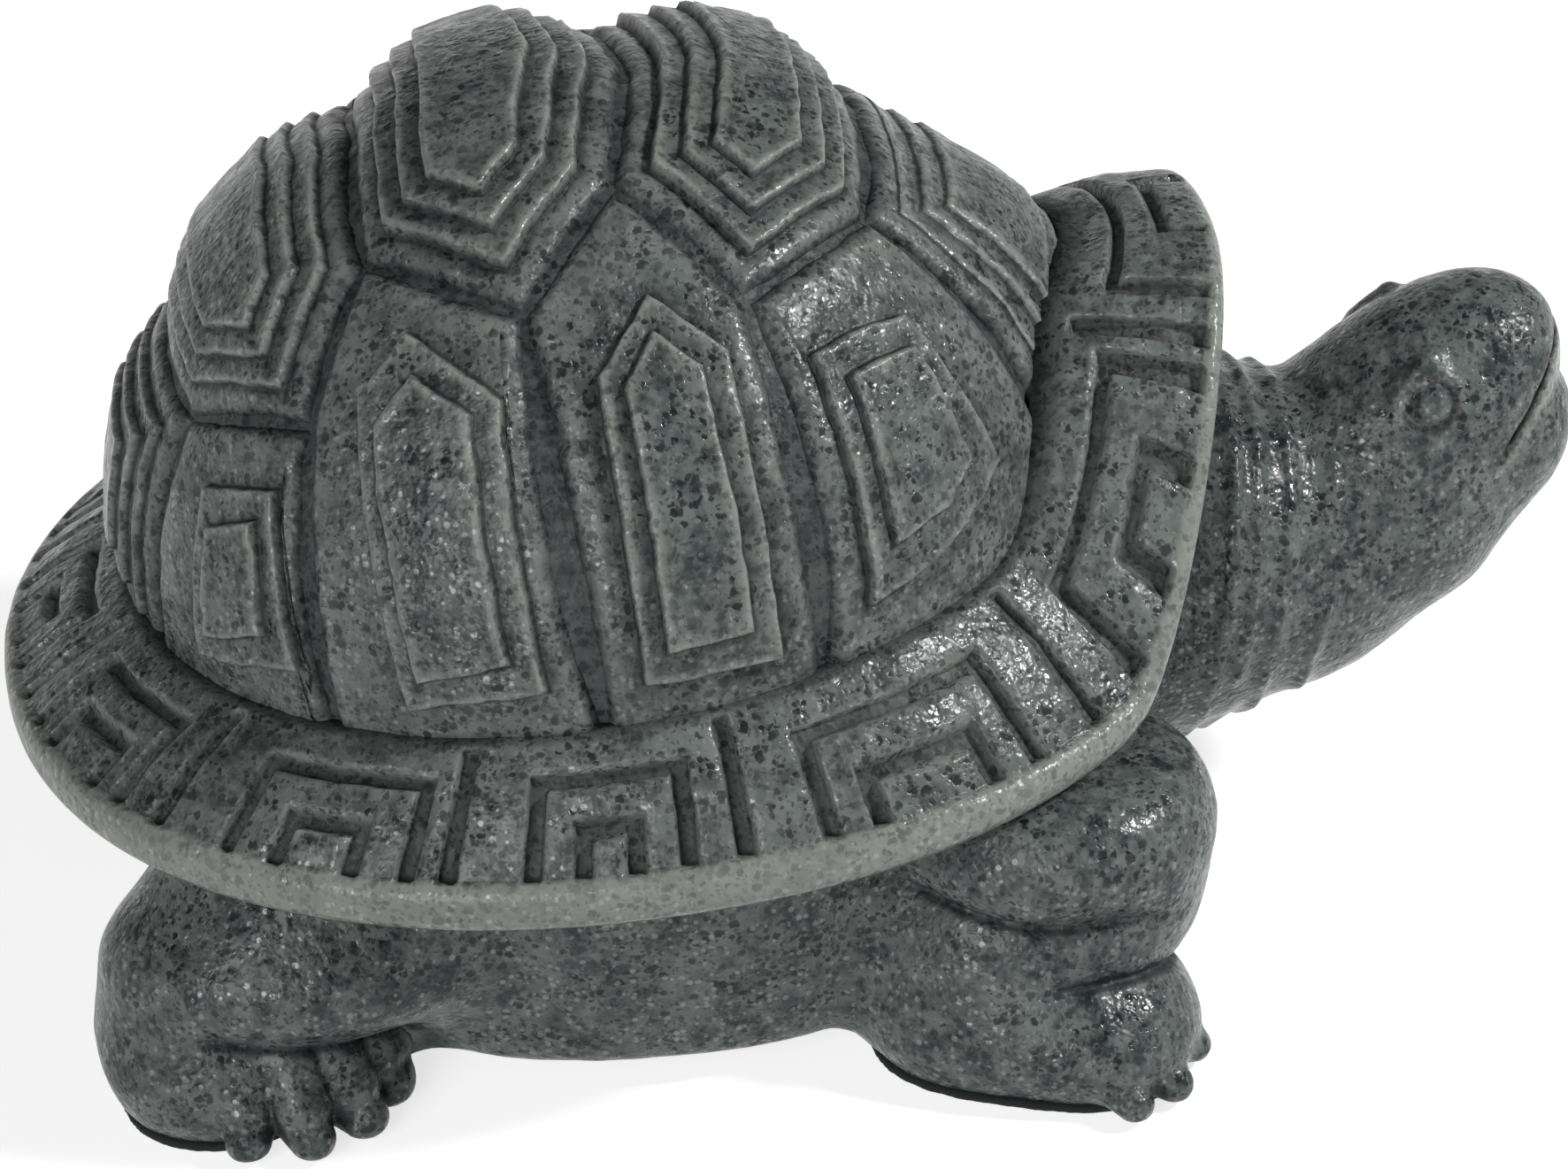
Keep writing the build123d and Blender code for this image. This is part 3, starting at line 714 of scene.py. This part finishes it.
def merge(a, b, soft):
    """Two forms run together, with a fillet about soft wide."""
    mix = np.clip(0.5 + 0.5 * (b - a) / soft, 0, 1)
    return b + (a - b) * mix - soft * mix * (1 - mix)


def trim(a, b, soft):
    """What two forms share, with its edge rounded by soft."""
    return -merge(-a, -b, soft)


def turned(points, middle, yaw):
    """Points seen from a foot's middle, along its heading."""
    c, s = math.cos(math.radians(yaw)), math.sin(math.radians(yaw))
    place = points - np.array(middle, float)
    ahead = place[..., 0] * c + place[..., 1] * s
    aside = place[..., 1] * c - place[..., 0] * s
    return np.stack((ahead, aside, place[..., 2]), -1)


def torso_field(points):
    """Tall round body with its flat belly."""
    form = ball(points, TORSO_AT, TORSO_RADII)
    return trim(form, BELLY_LEVEL - points[..., 2], BELLY_ROUND)


def in_head(points):
    """Points seen from the middle of the head: forward, aside and up."""
    tilt = math.radians(HEAD_TILT)
    place = points - np.array(HEAD_AT, float)
    forward = place[..., 0] * math.cos(tilt) + place[..., 2] * math.sin(tilt)
    upward = place[..., 2] * math.cos(tilt) - place[..., 0] * math.sin(tilt)
    return np.stack((forward, place[..., 1], upward), -1)


def eye_field(place, form):
    """Domed eye with a lid behind it and a groove in front and below."""
    eye = place - np.array(EYE_AT, float)
    normal = np.array(EYE_NORMAL) / np.linalg.norm(EYE_NORMAL)
    height = eye @ normal
    around = np.linalg.norm(eye - height[..., None] * normal, axis=-1)
    below = np.clip(-(0.2 * eye[..., 0] + 1.2 * eye[..., 2]) / np.maximum(around, 0.1), -1, 1)
    lid = np.hypot(around - EYE_RING - LID_OFFSET, height + LID_SINK) - LID_RADIUS + LID_THINNING * below
    form = merge(form, lid, 0.8)
    socket = np.hypot(around - EYE_RING, height - SOCKET_RISE) - SOCKET_RADIUS - SOCKET_WIDENING * below
    form = trim(form, -socket, 0.2)
    return merge(form, np.hypot(around, height + EYE_SINK) - EYE_RADIUS, 0.1)


def mouth_level(forward):
    """Level of the mouth's line, from its corner to its front."""
    share = (forward - MOUTH_CORNER[0]) / (MOUTH_FRONT[0] - MOUTH_CORNER[0])
    return MOUTH_CORNER[1] + (MOUTH_FRONT[1] - MOUTH_CORNER[1]) * share


def head_field(points):
    """Head with its snout, cheeks, brows, eyes and jaw, and with the mouth cut in."""
    place = in_head(points)
    form = merge(ball(place, *SKULL), ball(place, *SNOUT), 3.0)
    form = merge(form, ball(place, *CHEEK), 1.2)
    form = merge(form, limb(place, *BROW), 0.8)
    form = eye_field(place, form)
    forward, above = place[..., 0], place[..., 2] - mouth_level(place[..., 0])
    jaw = trim(ball(place, *JAW), above, 0.8)
    form = merge(form, jaw, 0.5 + 2.0 * step(2.0, -2.0, forward))
    gap = np.maximum(np.abs(above) - MOUTH_GAP, -form - MOUTH_DEPTH)
    gap = np.maximum(gap, MOUTH_CORNER[0] - forward)
    return trim(form, -gap, 0.3)


def neck_field(points):
    """Neck with its patchy folds, and the head on it."""
    form = None
    for (start, wide), (end, narrow) in zip(NECK, NECK[1:]):
        part = limb(points, start, wide, end, narrow)
        form = part if form is None else merge(form, part, 2.0)
    patchy = np.clip(0.5 + 0.9 * noise(points, 3.4, 83), 0, 1.2)
    lean = points[..., 0] - FOLD_LEAN * (points[..., 2] - FOLD_LEVEL) + 0.5 * noise(points, 6.0, 84)
    for ridge in NECK_FOLDS:
        form = form - FOLD_DEPTH * patchy * np.exp(-(((lean - ridge) / FOLD_WIDTH) ** 2))
    return merge(form, head_field(points), 2.5)


def toe_field(points, leg):
    """Toes that come out of the foot, each with a claw set back below its end."""
    middle = np.array(leg["foot"][0][:2], float)
    far, near = leg["toe_reach"]
    form = None
    for tip in leg["toes"]:
        tip = np.array(tip, float)
        heading = (tip - middle) / np.linalg.norm(tip - middle)
        root, end = tip - heading * far, tip - heading * near
        claw_end = tip - heading * leg["claw_radii"][1]
        toe = limb(points, (*root, leg["toe_levels"][0]), leg["toe_radii"][0],
                   (*end, leg["toe_levels"][1]), leg["toe_radii"][1])
        claw = limb(points, (*end, leg["claw_levels"][0]), leg["claw_radii"][0],
                    (*claw_end, leg["claw_levels"][1]), leg["claw_radii"][1])
        toe = merge(toe, claw, 0.25)
        form = toe if form is None else merge(form, toe, 0.3)
    return form


def foot_field(points, leg):
    """Foot with its heel and its ball, without the toes."""
    middle, radii = leg["foot"]
    foot = ball(turned(points, middle, leg["yaw"]), (0, 0, 0), radii)
    foot = merge(foot, ball(points, *leg["heel"]), 3.0)
    return merge(foot, ball(points, *leg["ball"]), 2.0)


def fold(form, roll, loose):
    """A roll over a form, with a sharp crease between them where loose is 0 and none where it is 1."""
    crease = CREASE_DEPTH * (1 - loose) * np.exp(-(((form - roll) / CREASE_WIDTH) ** 2))
    return merge(form, roll, 0.5 + 4.0 * loose) + crease


def leg_field(points, leg):
    """Rolls of the leg over its foot, creased where the leg bends and run together elsewhere."""
    form = merge(foot_field(points, leg), toe_field(points, leg), 0.7)
    for label in ("roll", "upper"):
        form = fold(form, ball(points, *leg[label]), step(*leg[f"{label}_crease"], points[..., 0]))
    form = trim(form, points[..., 2] - leg["ceiling"], 1.5)
    return trim(form, SOLE_LEVEL - points[..., 2], 0.3)


def tail_field(points):
    """Short stub of a tail."""
    return limb(points, *TAIL)


BODY_FIELDS = {
    "torso": torso_field,
    "neck": neck_field,
    "front": lambda points: leg_field(points, FRONT_LEG),
    "rear": lambda points: leg_field(points, REAR_LEG),
    "tail": tail_field,
}
BODY_REACH = {
    "neck": ((28, -18, 4), (80, 18, 48)),
    "front": ((12, 12, 0), (46, 47, 26)),
    "rear": ((-46, 10, 0), (-12, 44, 26)),
    "tail": ((-49, -8, 5), (-30, 8, 19)),
    "torso": ((-43, -37, 0), (43, 37, 31)),
}
BODY_SOFT = {"neck": 3.0, "front": 3.0, "rear": 4.5, "tail": 1.6}


def body_field(points, own):
    """Whole body with its forms run together, sunk where another form than own is nearer."""
    right = np.stack((points[..., 0], np.abs(points[..., 1]), points[..., 2]), -1)
    fields = {label: field(right) for label, field in BODY_FIELDS.items()}
    whole = fields["torso"]
    for label, soft in BODY_SOFT.items():
        whole = merge(whole, fields[label], soft)
    other = np.min([values for label, values in fields.items() if label != own], axis=0)
    whole = whole + 0.5 * np.maximum(0, fields[own] - other)
    if own == "torso":
        whole = np.maximum(whole, points[..., 2] - TORSO_CEILING)
    return whole + 0.05 * noise(points, 1.6, 80) + 0.12 * noise(points, 6.0, 81)


def closed_values(field, axes):
    """Values of a field on a grid, kept positive on the sides of the grid, so that its surface closes."""
    points = np.stack(np.meshgrid(*axes, indexing="ij"), -1)
    values = np.stack([field(layer) for layer in points])
    for axis in range(3):
        for end in (0, -1):
            side = [slice(None)] * 3
            side[axis] = end
            values[tuple(side)] = np.maximum(values[tuple(side)], 0.01)
    return values


def cell_crossings(values):
    """For each cell, the sum of the places where its edges cross zero, and how many edges do."""
    size = np.array(values.shape) - 1
    total = np.zeros((*size, 3))
    crossings = np.zeros(size)
    for a, axis in itertools.product(itertools.product((0, 1), repeat=3), range(3)):
        if a[axis]:
            continue
        b = tuple(value + (index == axis) for index, value in enumerate(a))
        va, vb = (values[tuple(slice(at, at + n) for at, n in zip(corner, size))] for corner in (a, b))
        crossed = (va < 0) != (vb < 0)
        share = np.where(crossed, va / np.where(crossed, va - vb, 1), 0)
        for index in range(3):
            total[..., index] += crossed * (a[index] + (share if index == axis else 0))
        crossings += crossed
    return total, crossings


def net_quads(inside, label, axis):
    """Quads round the grid edges along one axis that cross the surface, turned outwards."""
    after, last = (axis + 1) % 3, (axis + 2) % 3
    first = np.take(inside, range(inside.shape[axis] - 1), axis)
    second = np.take(inside, range(1, inside.shape[axis]), axis)
    flips = np.argwhere(first != second)
    for other in (after, last):
        flips = flips[(flips[:, other] > 0) & (flips[:, other] < label.shape[other])]
    around = []
    for step_after, step_last in ((0, 0), (1, 0), (1, 1), (0, 1)):
        at = flips.copy()
        at[:, after] -= step_after
        at[:, last] -= step_last
        around.append(label[tuple(at.T)])
    quads = np.stack(around, -1)
    outward = first[tuple(flips.T)]
    quads[~outward] = quads[~outward][:, ::-1]
    return quads


def surface_net(field, low, high, cell):
    """Closed mesh of a field's zero surface: vertices and quads."""
    axes = [np.arange(a, b + cell, cell) for a, b in zip(low, high)]
    values = closed_values(field, axes)
    total, crossings = cell_crossings(values)
    active = crossings > 0
    label = np.full(crossings.shape, -1)
    label[active] = np.arange(active.sum())
    places = np.argwhere(active) + total[active] / crossings[active][:, None]
    faces = [net_quads(values < 0, label, axis) for axis in range(3)]
    return places * cell + np.array(low, float), np.concatenate(faces)


def slopes(field, vertices, reach):
    """Unit normals of a field at some points."""
    parts = []
    for axis in range(3):
        shift = np.zeros(3)
        shift[axis] = reach
        parts.append(field(vertices + shift) - field(vertices - shift))
    normal = np.stack(parts, -1)
    return normal / np.maximum(np.linalg.norm(normal, axis=-1, keepdims=True), 1e-9)


def reach_of(label, side):
    """Box round one of the body's forms, on its own side where side is -1 or 1."""
    low, high = (np.array(corner, float) for corner in BODY_REACH[label])
    if side:
        low[1], high[1] = np.sort(np.array((low[1], high[1])) * side)
    return low, high


def body_piece(own, side, cell):
    """One piece of the body, with painted shade in its hollows and wear on its ridges, both found from the
    field around it.
    """
    def field(points):
        return body_field(points, own)

    vertices, faces = surface_net(field, *reach_of(own, side), cell)
    normal = slopes(field, vertices, 0.1)
    vertices = vertices - normal * np.clip(field(vertices), -cell, cell)[:, None]
    wide, fine = (1 - field(vertices + normal * reach) / reach for reach in HOLLOW_REACHES)
    ridge = 1 + field(vertices - normal * RIDGE_REACH) / RIDGE_REACH
    # Painted shade where the field finds a hollow, either wide or narrow
    dark = np.maximum(step(0.12, 0.8, wide), step(0.15, 0.6, fine))
    return vertices, faces.tolist(), step(0.25, 0.9, ridge) * 0.7, dark


def pad_piece(leg, side):
    """Felt pad that follows the sole of a foot, near black, so that it is also the painted shadow under the
    foot.
    """
    form = FRONT_LEG if leg == "front" else REAR_LEG

    def field(points):
        level = np.full(points.shape[:-1], PAD_OUTLINE_LEVEL)
        sole = np.stack((points[..., 0], np.abs(points[..., 1]), level), -1)
        edge = foot_field(sole, form) + PAD_INSET + 0.06 * noise(points, 0.7, 85)
        return np.maximum(edge, np.abs(points[..., 2] - SOLE_LEVEL / 2) - SOLE_LEVEL / 2)

    low, high = reach_of(leg, side)
    low[2], high[2] = -PAD_MARGIN, SOLE_LEVEL + PAD_MARGIN
    vertices, faces = surface_net(field, low, high, PAD_CELL)
    vertices[:, 2] = np.clip(vertices[:, 2], 0, SOLE_LEVEL)
    plain = np.zeros(len(vertices))
    return vertices, faces.tolist(), plain, plain


# Materials
class Nodes:
    """Short way to add and link shader nodes."""

    def __init__(self, name):
        self.material = bpy.data.materials.new(name)
        self.material.use_nodes = True
        self.tree = self.material.node_tree
        self.shader = self.tree.nodes["Principled BSDF"]

    def add(self, kind, inputs=(), **settings):
        node = self.tree.nodes.new(kind)
        for key, value in settings.items():
            setattr(node, key, value)
        for key, value in dict(inputs).items():
            self.put(value, node.inputs[key])
        return node

    def put(self, value, socket):
        if isinstance(value, bpy.types.NodeSocket):
            self.tree.links.new(value, socket)
        else:
            socket.default_value = value

    def math(self, operation, a, b):
        return self.add("ShaderNodeMath", {0: a, 1: b}, operation=operation).outputs[0]

    def part(self, value, share):
        """A share of a value."""
        return self.math("MULTIPLY", value, share)

    def ramp(self, value, low, high, start=0.0, end=1.0):
        inputs = {"Value": value, "From Min": low, "From Max": high, "To Min": start, "To Max": end}
        return self.add("ShaderNodeMapRange", inputs, interpolation_type="SMOOTHSTEP").outputs[0]

    def mix(self, share, a, b):
        node = self.add("ShaderNodeMix", data_type="RGBA")
        self.put(share, node.inputs[0])
        self.put(a, node.inputs[6])
        self.put(b, node.inputs[7])
        return node.outputs[2]

    def noise(self, vector, scale, detail=2.0, roughness=0.5):
        inputs = {"Vector": vector, "Scale": scale, "Detail": detail, "Roughness": roughness}
        return self.add("ShaderNodeTexNoise", inputs).outputs

    def specks(self, vector, scale, least, most):
        """Soft specks whose size and strength differ from speck to speck: 0 between them, up to 1 inside."""
        cells = self.add("ShaderNodeTexVoronoi", {"Vector": vector, "Scale": scale, "Randomness": 1.0})
        pick = self.add("ShaderNodeSeparateColor", {"Color": cells.outputs["Color"]})
        radius = self.ramp(pick.outputs[0], 0.0, 1.0, least, most)
        inside = self.ramp(self.math("SUBTRACT", radius, cells.outputs["Distance"]), -0.1, 0.1)
        return self.part(inside, self.ramp(pick.outputs[1], 0.0, 1.0, 0.85, 1.0))

    def moved(self, vector, size, reach):
        """Places pushed about by a noise, so that round specks become irregular."""
        push = self.noise(vector, size)["Color"]
        push = self.vector("SUBTRACT", {0: push, 1: (0.5, 0.5, 0.5)})
        push = self.vector("SCALE", {0: push, "Scale": reach})
        return self.vector("ADD", {0: vector, 1: push})

    def vector(self, operation, inputs):
        return self.add("ShaderNodeVectorMath", inputs, operation=operation).outputs[0]

    def attribute(self, name):
        return self.add("ShaderNodeAttribute", attribute_name=name).outputs["Fac"]


def in_millimetres(nodes):
    """Places on the object in millimetres."""
    place = nodes.add("ShaderNodeTexCoord").outputs["Object"]
    return nodes.vector("SCALE", {0: place, "Scale": 1 / MM})


def stone_grains(nodes, place, ragged, wear):
    """Dark grains of three sizes, in crowds, and fewer where the stone is worn."""
    large, middling = nodes.specks(ragged, 0.95, -0.3, 0.42), nodes.specks(ragged, 1.55, 0.0, 0.48)
    dust = nodes.part(nodes.specks(ragged, 2.4, 0.0, 0.46), 0.7)
    grains = nodes.math("MAXIMUM", nodes.math("MAXIMUM", middling, large), dust)
    crowd = nodes.ramp(nodes.noise(place, 0.3)[0], 0.35, 0.6, 0.55, 1.0)
    spared = nodes.math("SUBTRACT", 1.0, nodes.part(wear, 0.7))
    return nodes.part(grains, nodes.part(crowd, spared))


def stone_colour(nodes, uneven, wear, hollow_shade, grains):
    """Mottled grey, with painted shade in hollows, grooves and under the rim, pale on worn edges and black
    in the grains.
    """
    blotch = nodes.ramp(nodes.noise(uneven, 0.22, 4.0, 0.6)[0], 0.34, 0.66)
    mottle = nodes.ramp(nodes.noise(uneven, 0.7, 3.0, 0.65)[0], 0.36, 0.66)
    colour = nodes.mix(blotch, STONE_DARK, STONE_GREY)
    colour = nodes.mix(nodes.part(mottle, 0.62), colour, STONE_PALE)
    # Painted shade in hollows, grooves and under the rim
    colour = nodes.mix(nodes.part(hollow_shade, 0.8), colour, STONE_HOLLOW_SHADE)
    colour = nodes.mix(nodes.part(wear, 0.78), colour, STONE_WORN)
    return nodes.mix(nodes.part(grains, 0.97), colour, STONE_GRAIN)


def stone_bump(nodes, place, grains):
    """Fine lumps and grit, with the grains a little sunk."""
    grit = nodes.noise(place, 1.5, 1.0)[0]
    lumps = nodes.noise(place, 0.55, 1.0)[0]
    height = nodes.math("SUBTRACT", nodes.math("ADD", grit, lumps), nodes.part(grains, 0.22))
    return nodes.add("ShaderNodeBump", {"Strength": 0.75, "Distance": 0.2 * MM, "Height": height}).outputs[0]


def granite():
    """Grey cast stone with a broken gloss: some flecks shine more, and hollows are dull."""
    nodes = Nodes("granite_resin")
    place = in_millimetres(nodes)
    uneven = nodes.moved(place, 1.1, 0.6)
    ragged = nodes.moved(uneven, 2.2, 0.45)
    wear, hollow_shade = nodes.attribute("wear"), nodes.attribute("hollow_shade")
    grains = stone_grains(nodes, place, ragged, wear)
    flecks = nodes.part(nodes.specks(place, 1.7, -0.2, 0.42), nodes.math("SUBTRACT", 1.0, hollow_shade))
    sheen = nodes.ramp(nodes.noise(place, 0.5, 3.0)[0], 0.35, 0.65, 0.19, 0.34)
    inputs = nodes.shader.inputs
    nodes.put(stone_colour(nodes, uneven, wear, hollow_shade, grains), inputs["Base Color"])
    nodes.put(nodes.ramp(flecks, 0.0, 1.0, 0.22, 1.0), inputs["Specular IOR Level"])
    nodes.put(nodes.math("ADD", sheen, nodes.part(hollow_shade, 0.3)), inputs["Roughness"])
    nodes.put(stone_bump(nodes, place, grains), inputs["Normal"])
    return nodes.material


def felt_and_shadow():
    """Felt, dark and matt, and near black so that it also paints the shadow under the feet."""
    nodes = Nodes("foot_pad")
    fuzz = nodes.noise(in_millimetres(nodes), 6.0, 4.0, 0.7)[0]
    bump = nodes.add("ShaderNodeBump", {"Strength": 0.8, "Distance": 0.2 * MM, "Height": fuzz})
    inputs = nodes.shader.inputs
    nodes.put(nodes.mix(fuzz, FELT_AND_SHADOW_DARK, FELT_AND_SHADOW_GREY), inputs["Base Color"])
    nodes.put(0.95, inputs["Roughness"])
    nodes.put(bump.outputs[0], inputs["Normal"])
    return nodes.material


# Floor, light and camera
def seen_directly(tree):
    """1 for what the camera sees itself or in a mirror or a glass, 0 for the light that falls on things."""
    rays = tree.nodes.new("ShaderNodeLightPath")
    total = rays.outputs["Is Camera Ray"]
    for label in ("Is Glossy Ray", "Is Transmission Ray"):
        either = tree.nodes.new("ShaderNodeMath")
        either.operation = "MAXIMUM"
        tree.links.new(total, either.inputs[0])
        tree.links.new(rays.outputs[label], either.inputs[1])
        total = either.outputs[0]
    return total


def floor():
    """White floor that keeps the shadow of the figurine."""
    nodes = Nodes("floor_paint")
    nodes.put(FLOOR_COLOUR, nodes.shader.inputs["Base Color"])
    nodes.put(0.9, nodes.shader.inputs["Roughness"])
    nodes.put((1, 1, 1, 1), nodes.shader.inputs["Emission Color"])
    glow = nodes.part(seen_directly(nodes.tree), FLOOR_GLOW)
    nodes.put(glow, nodes.shader.inputs["Emission Strength"])
    reach = FLOOR_REACH
    mesh = bpy.data.meshes.new("floor")
    corners = [(-reach, -reach, 0), (reach, -reach, 0), (reach, reach, 0), (-reach, reach, 0)]
    mesh.from_pydata(corners, [], [(0, 1, 2, 3)])
    mesh.materials.append(nodes.material)
    plane = bpy.data.objects.new("floor", mesh)
    bpy.context.scene.collection.objects.link(plane)


def sky_shade(tree, height, levels, strengths):
    """White background whose strength falls from the first to the second value between two heights."""
    fall = tree.nodes.new("ShaderNodeMapRange")
    for label, value in zip(("From Min", "From Max", "To Min", "To Max"), (*levels, *strengths)):
        fall.inputs[label].default_value = value
    shade = tree.nodes.new("ShaderNodeBackground")
    shade.inputs["Color"].default_value = (1, 1, 1, 1)
    tree.links.new(height, fall.inputs["Value"])
    tree.links.new(fall.outputs[0], shade.inputs["Strength"])
    return shade.outputs[0]


def world():
    """White room under a dim ceiling, with soft light that comes more from the sides than from above."""
    sky = bpy.data.worlds.new("studio")
    bpy.context.scene.world = sky
    sky.use_nodes = True
    tree = sky.node_tree
    tree.nodes.remove(tree.nodes["Background"])
    way = tree.nodes.new("ShaderNodeTexCoord")
    parts = tree.nodes.new("ShaderNodeSeparateXYZ")
    tree.links.new(way.outputs["Generated"], parts.inputs[0])
    mixer = tree.nodes.new("ShaderNodeMixShader")
    tree.links.new(seen_directly(tree), mixer.inputs[0])
    tree.links.new(sky_shade(tree, parts.outputs["Z"], *ROOM_LIGHT), mixer.inputs[1])
    tree.links.new(sky_shade(tree, parts.outputs["Z"], *ROOM_LOOK), mixer.inputs[2])
    tree.links.new(mixer.outputs[0], tree.nodes["World Output"].inputs["Surface"])


def lamp(name, heading, distance, size, power):
    """Round lamp that shines at the middle of the floor."""
    data = bpy.data.lights.new(name, "AREA")
    data.shape = "DISK"
    data.size = size
    data.energy = power
    item = bpy.data.objects.new(name, data)
    bpy.context.scene.collection.objects.link(item)
    item.location = Vector(heading).normalized() * distance
    item.rotation_mode = "QUATERNION"
    item.rotation_quaternion = Vector(heading).to_track_quat("Z", "Y")


def camera():
    """Camera at the photograph's viewing angle."""
    data = bpy.data.cameras.new("photo_view")
    data.lens = CAMERA_LENS
    data.sensor_width = CAMERA_SENSOR
    item = bpy.data.objects.new("photo_view", data)
    bpy.context.scene.collection.objects.link(item)
    azimuth, elevation = math.radians(CAMERA_AZIMUTH), math.radians(CAMERA_ELEVATION)
    level = math.cos(elevation)
    back = Vector((math.sin(azimuth) * level, -math.cos(azimuth) * level, math.sin(elevation)))
    side = Vector((math.cos(azimuth), math.sin(azimuth), 0))
    upright = Matrix((side, back.cross(side), back)).transposed()
    turn = upright @ Matrix.Rotation(math.radians(CAMERA_ROLL), 3, "Z")
    target = Vector(CAMERA_TARGET) + Vector((SHELL_MIDDLE, 0, 0))
    item.matrix_world = Matrix.Translation((target + back * CAMERA_DISTANCE) * MM) @ turn.to_4x4()
    data.clip_start = 0.01
    bpy.context.scene.camera = item


# Scene
stone = granite()
pad_felt_and_shadow = felt_and_shadow()
add_piece("shell_dome", "carapace_dome", "granite_resin", stone, *dome())
add_piece("shell_rim", "marginal_rim", "granite_resin", stone, *rim())
add_piece("body", "torso", "granite_resin", stone, *body_piece("torso", 0, TORSO_CELL))
add_piece("head_and_neck", "head_neck", "granite_resin", stone, *body_piece("neck", 0, BODY_CELL))
add_piece("tail_stub", "tail", "granite_resin", stone, *body_piece("tail", 0, BODY_CELL))
for label, side in (("right", -1), ("left", 1)):
    for leg in ("front", "rear"):
        made = body_piece(leg, side, BODY_CELL)
        add_piece(f"{leg}_{label}_foot", f"{leg}_{label}_leg", "granite_resin", stone, *made)
        add_piece(f"{leg}_{label}_felt", f"{leg}_{label}_pad", "foot_pad", pad_felt_and_shadow, *pad_piece(leg, side))

floor()
world()
for name, values in LAMPS.items():
    lamp(name, *values)
camera()
bpy.context.scene.view_settings.view_transform = "Standard"
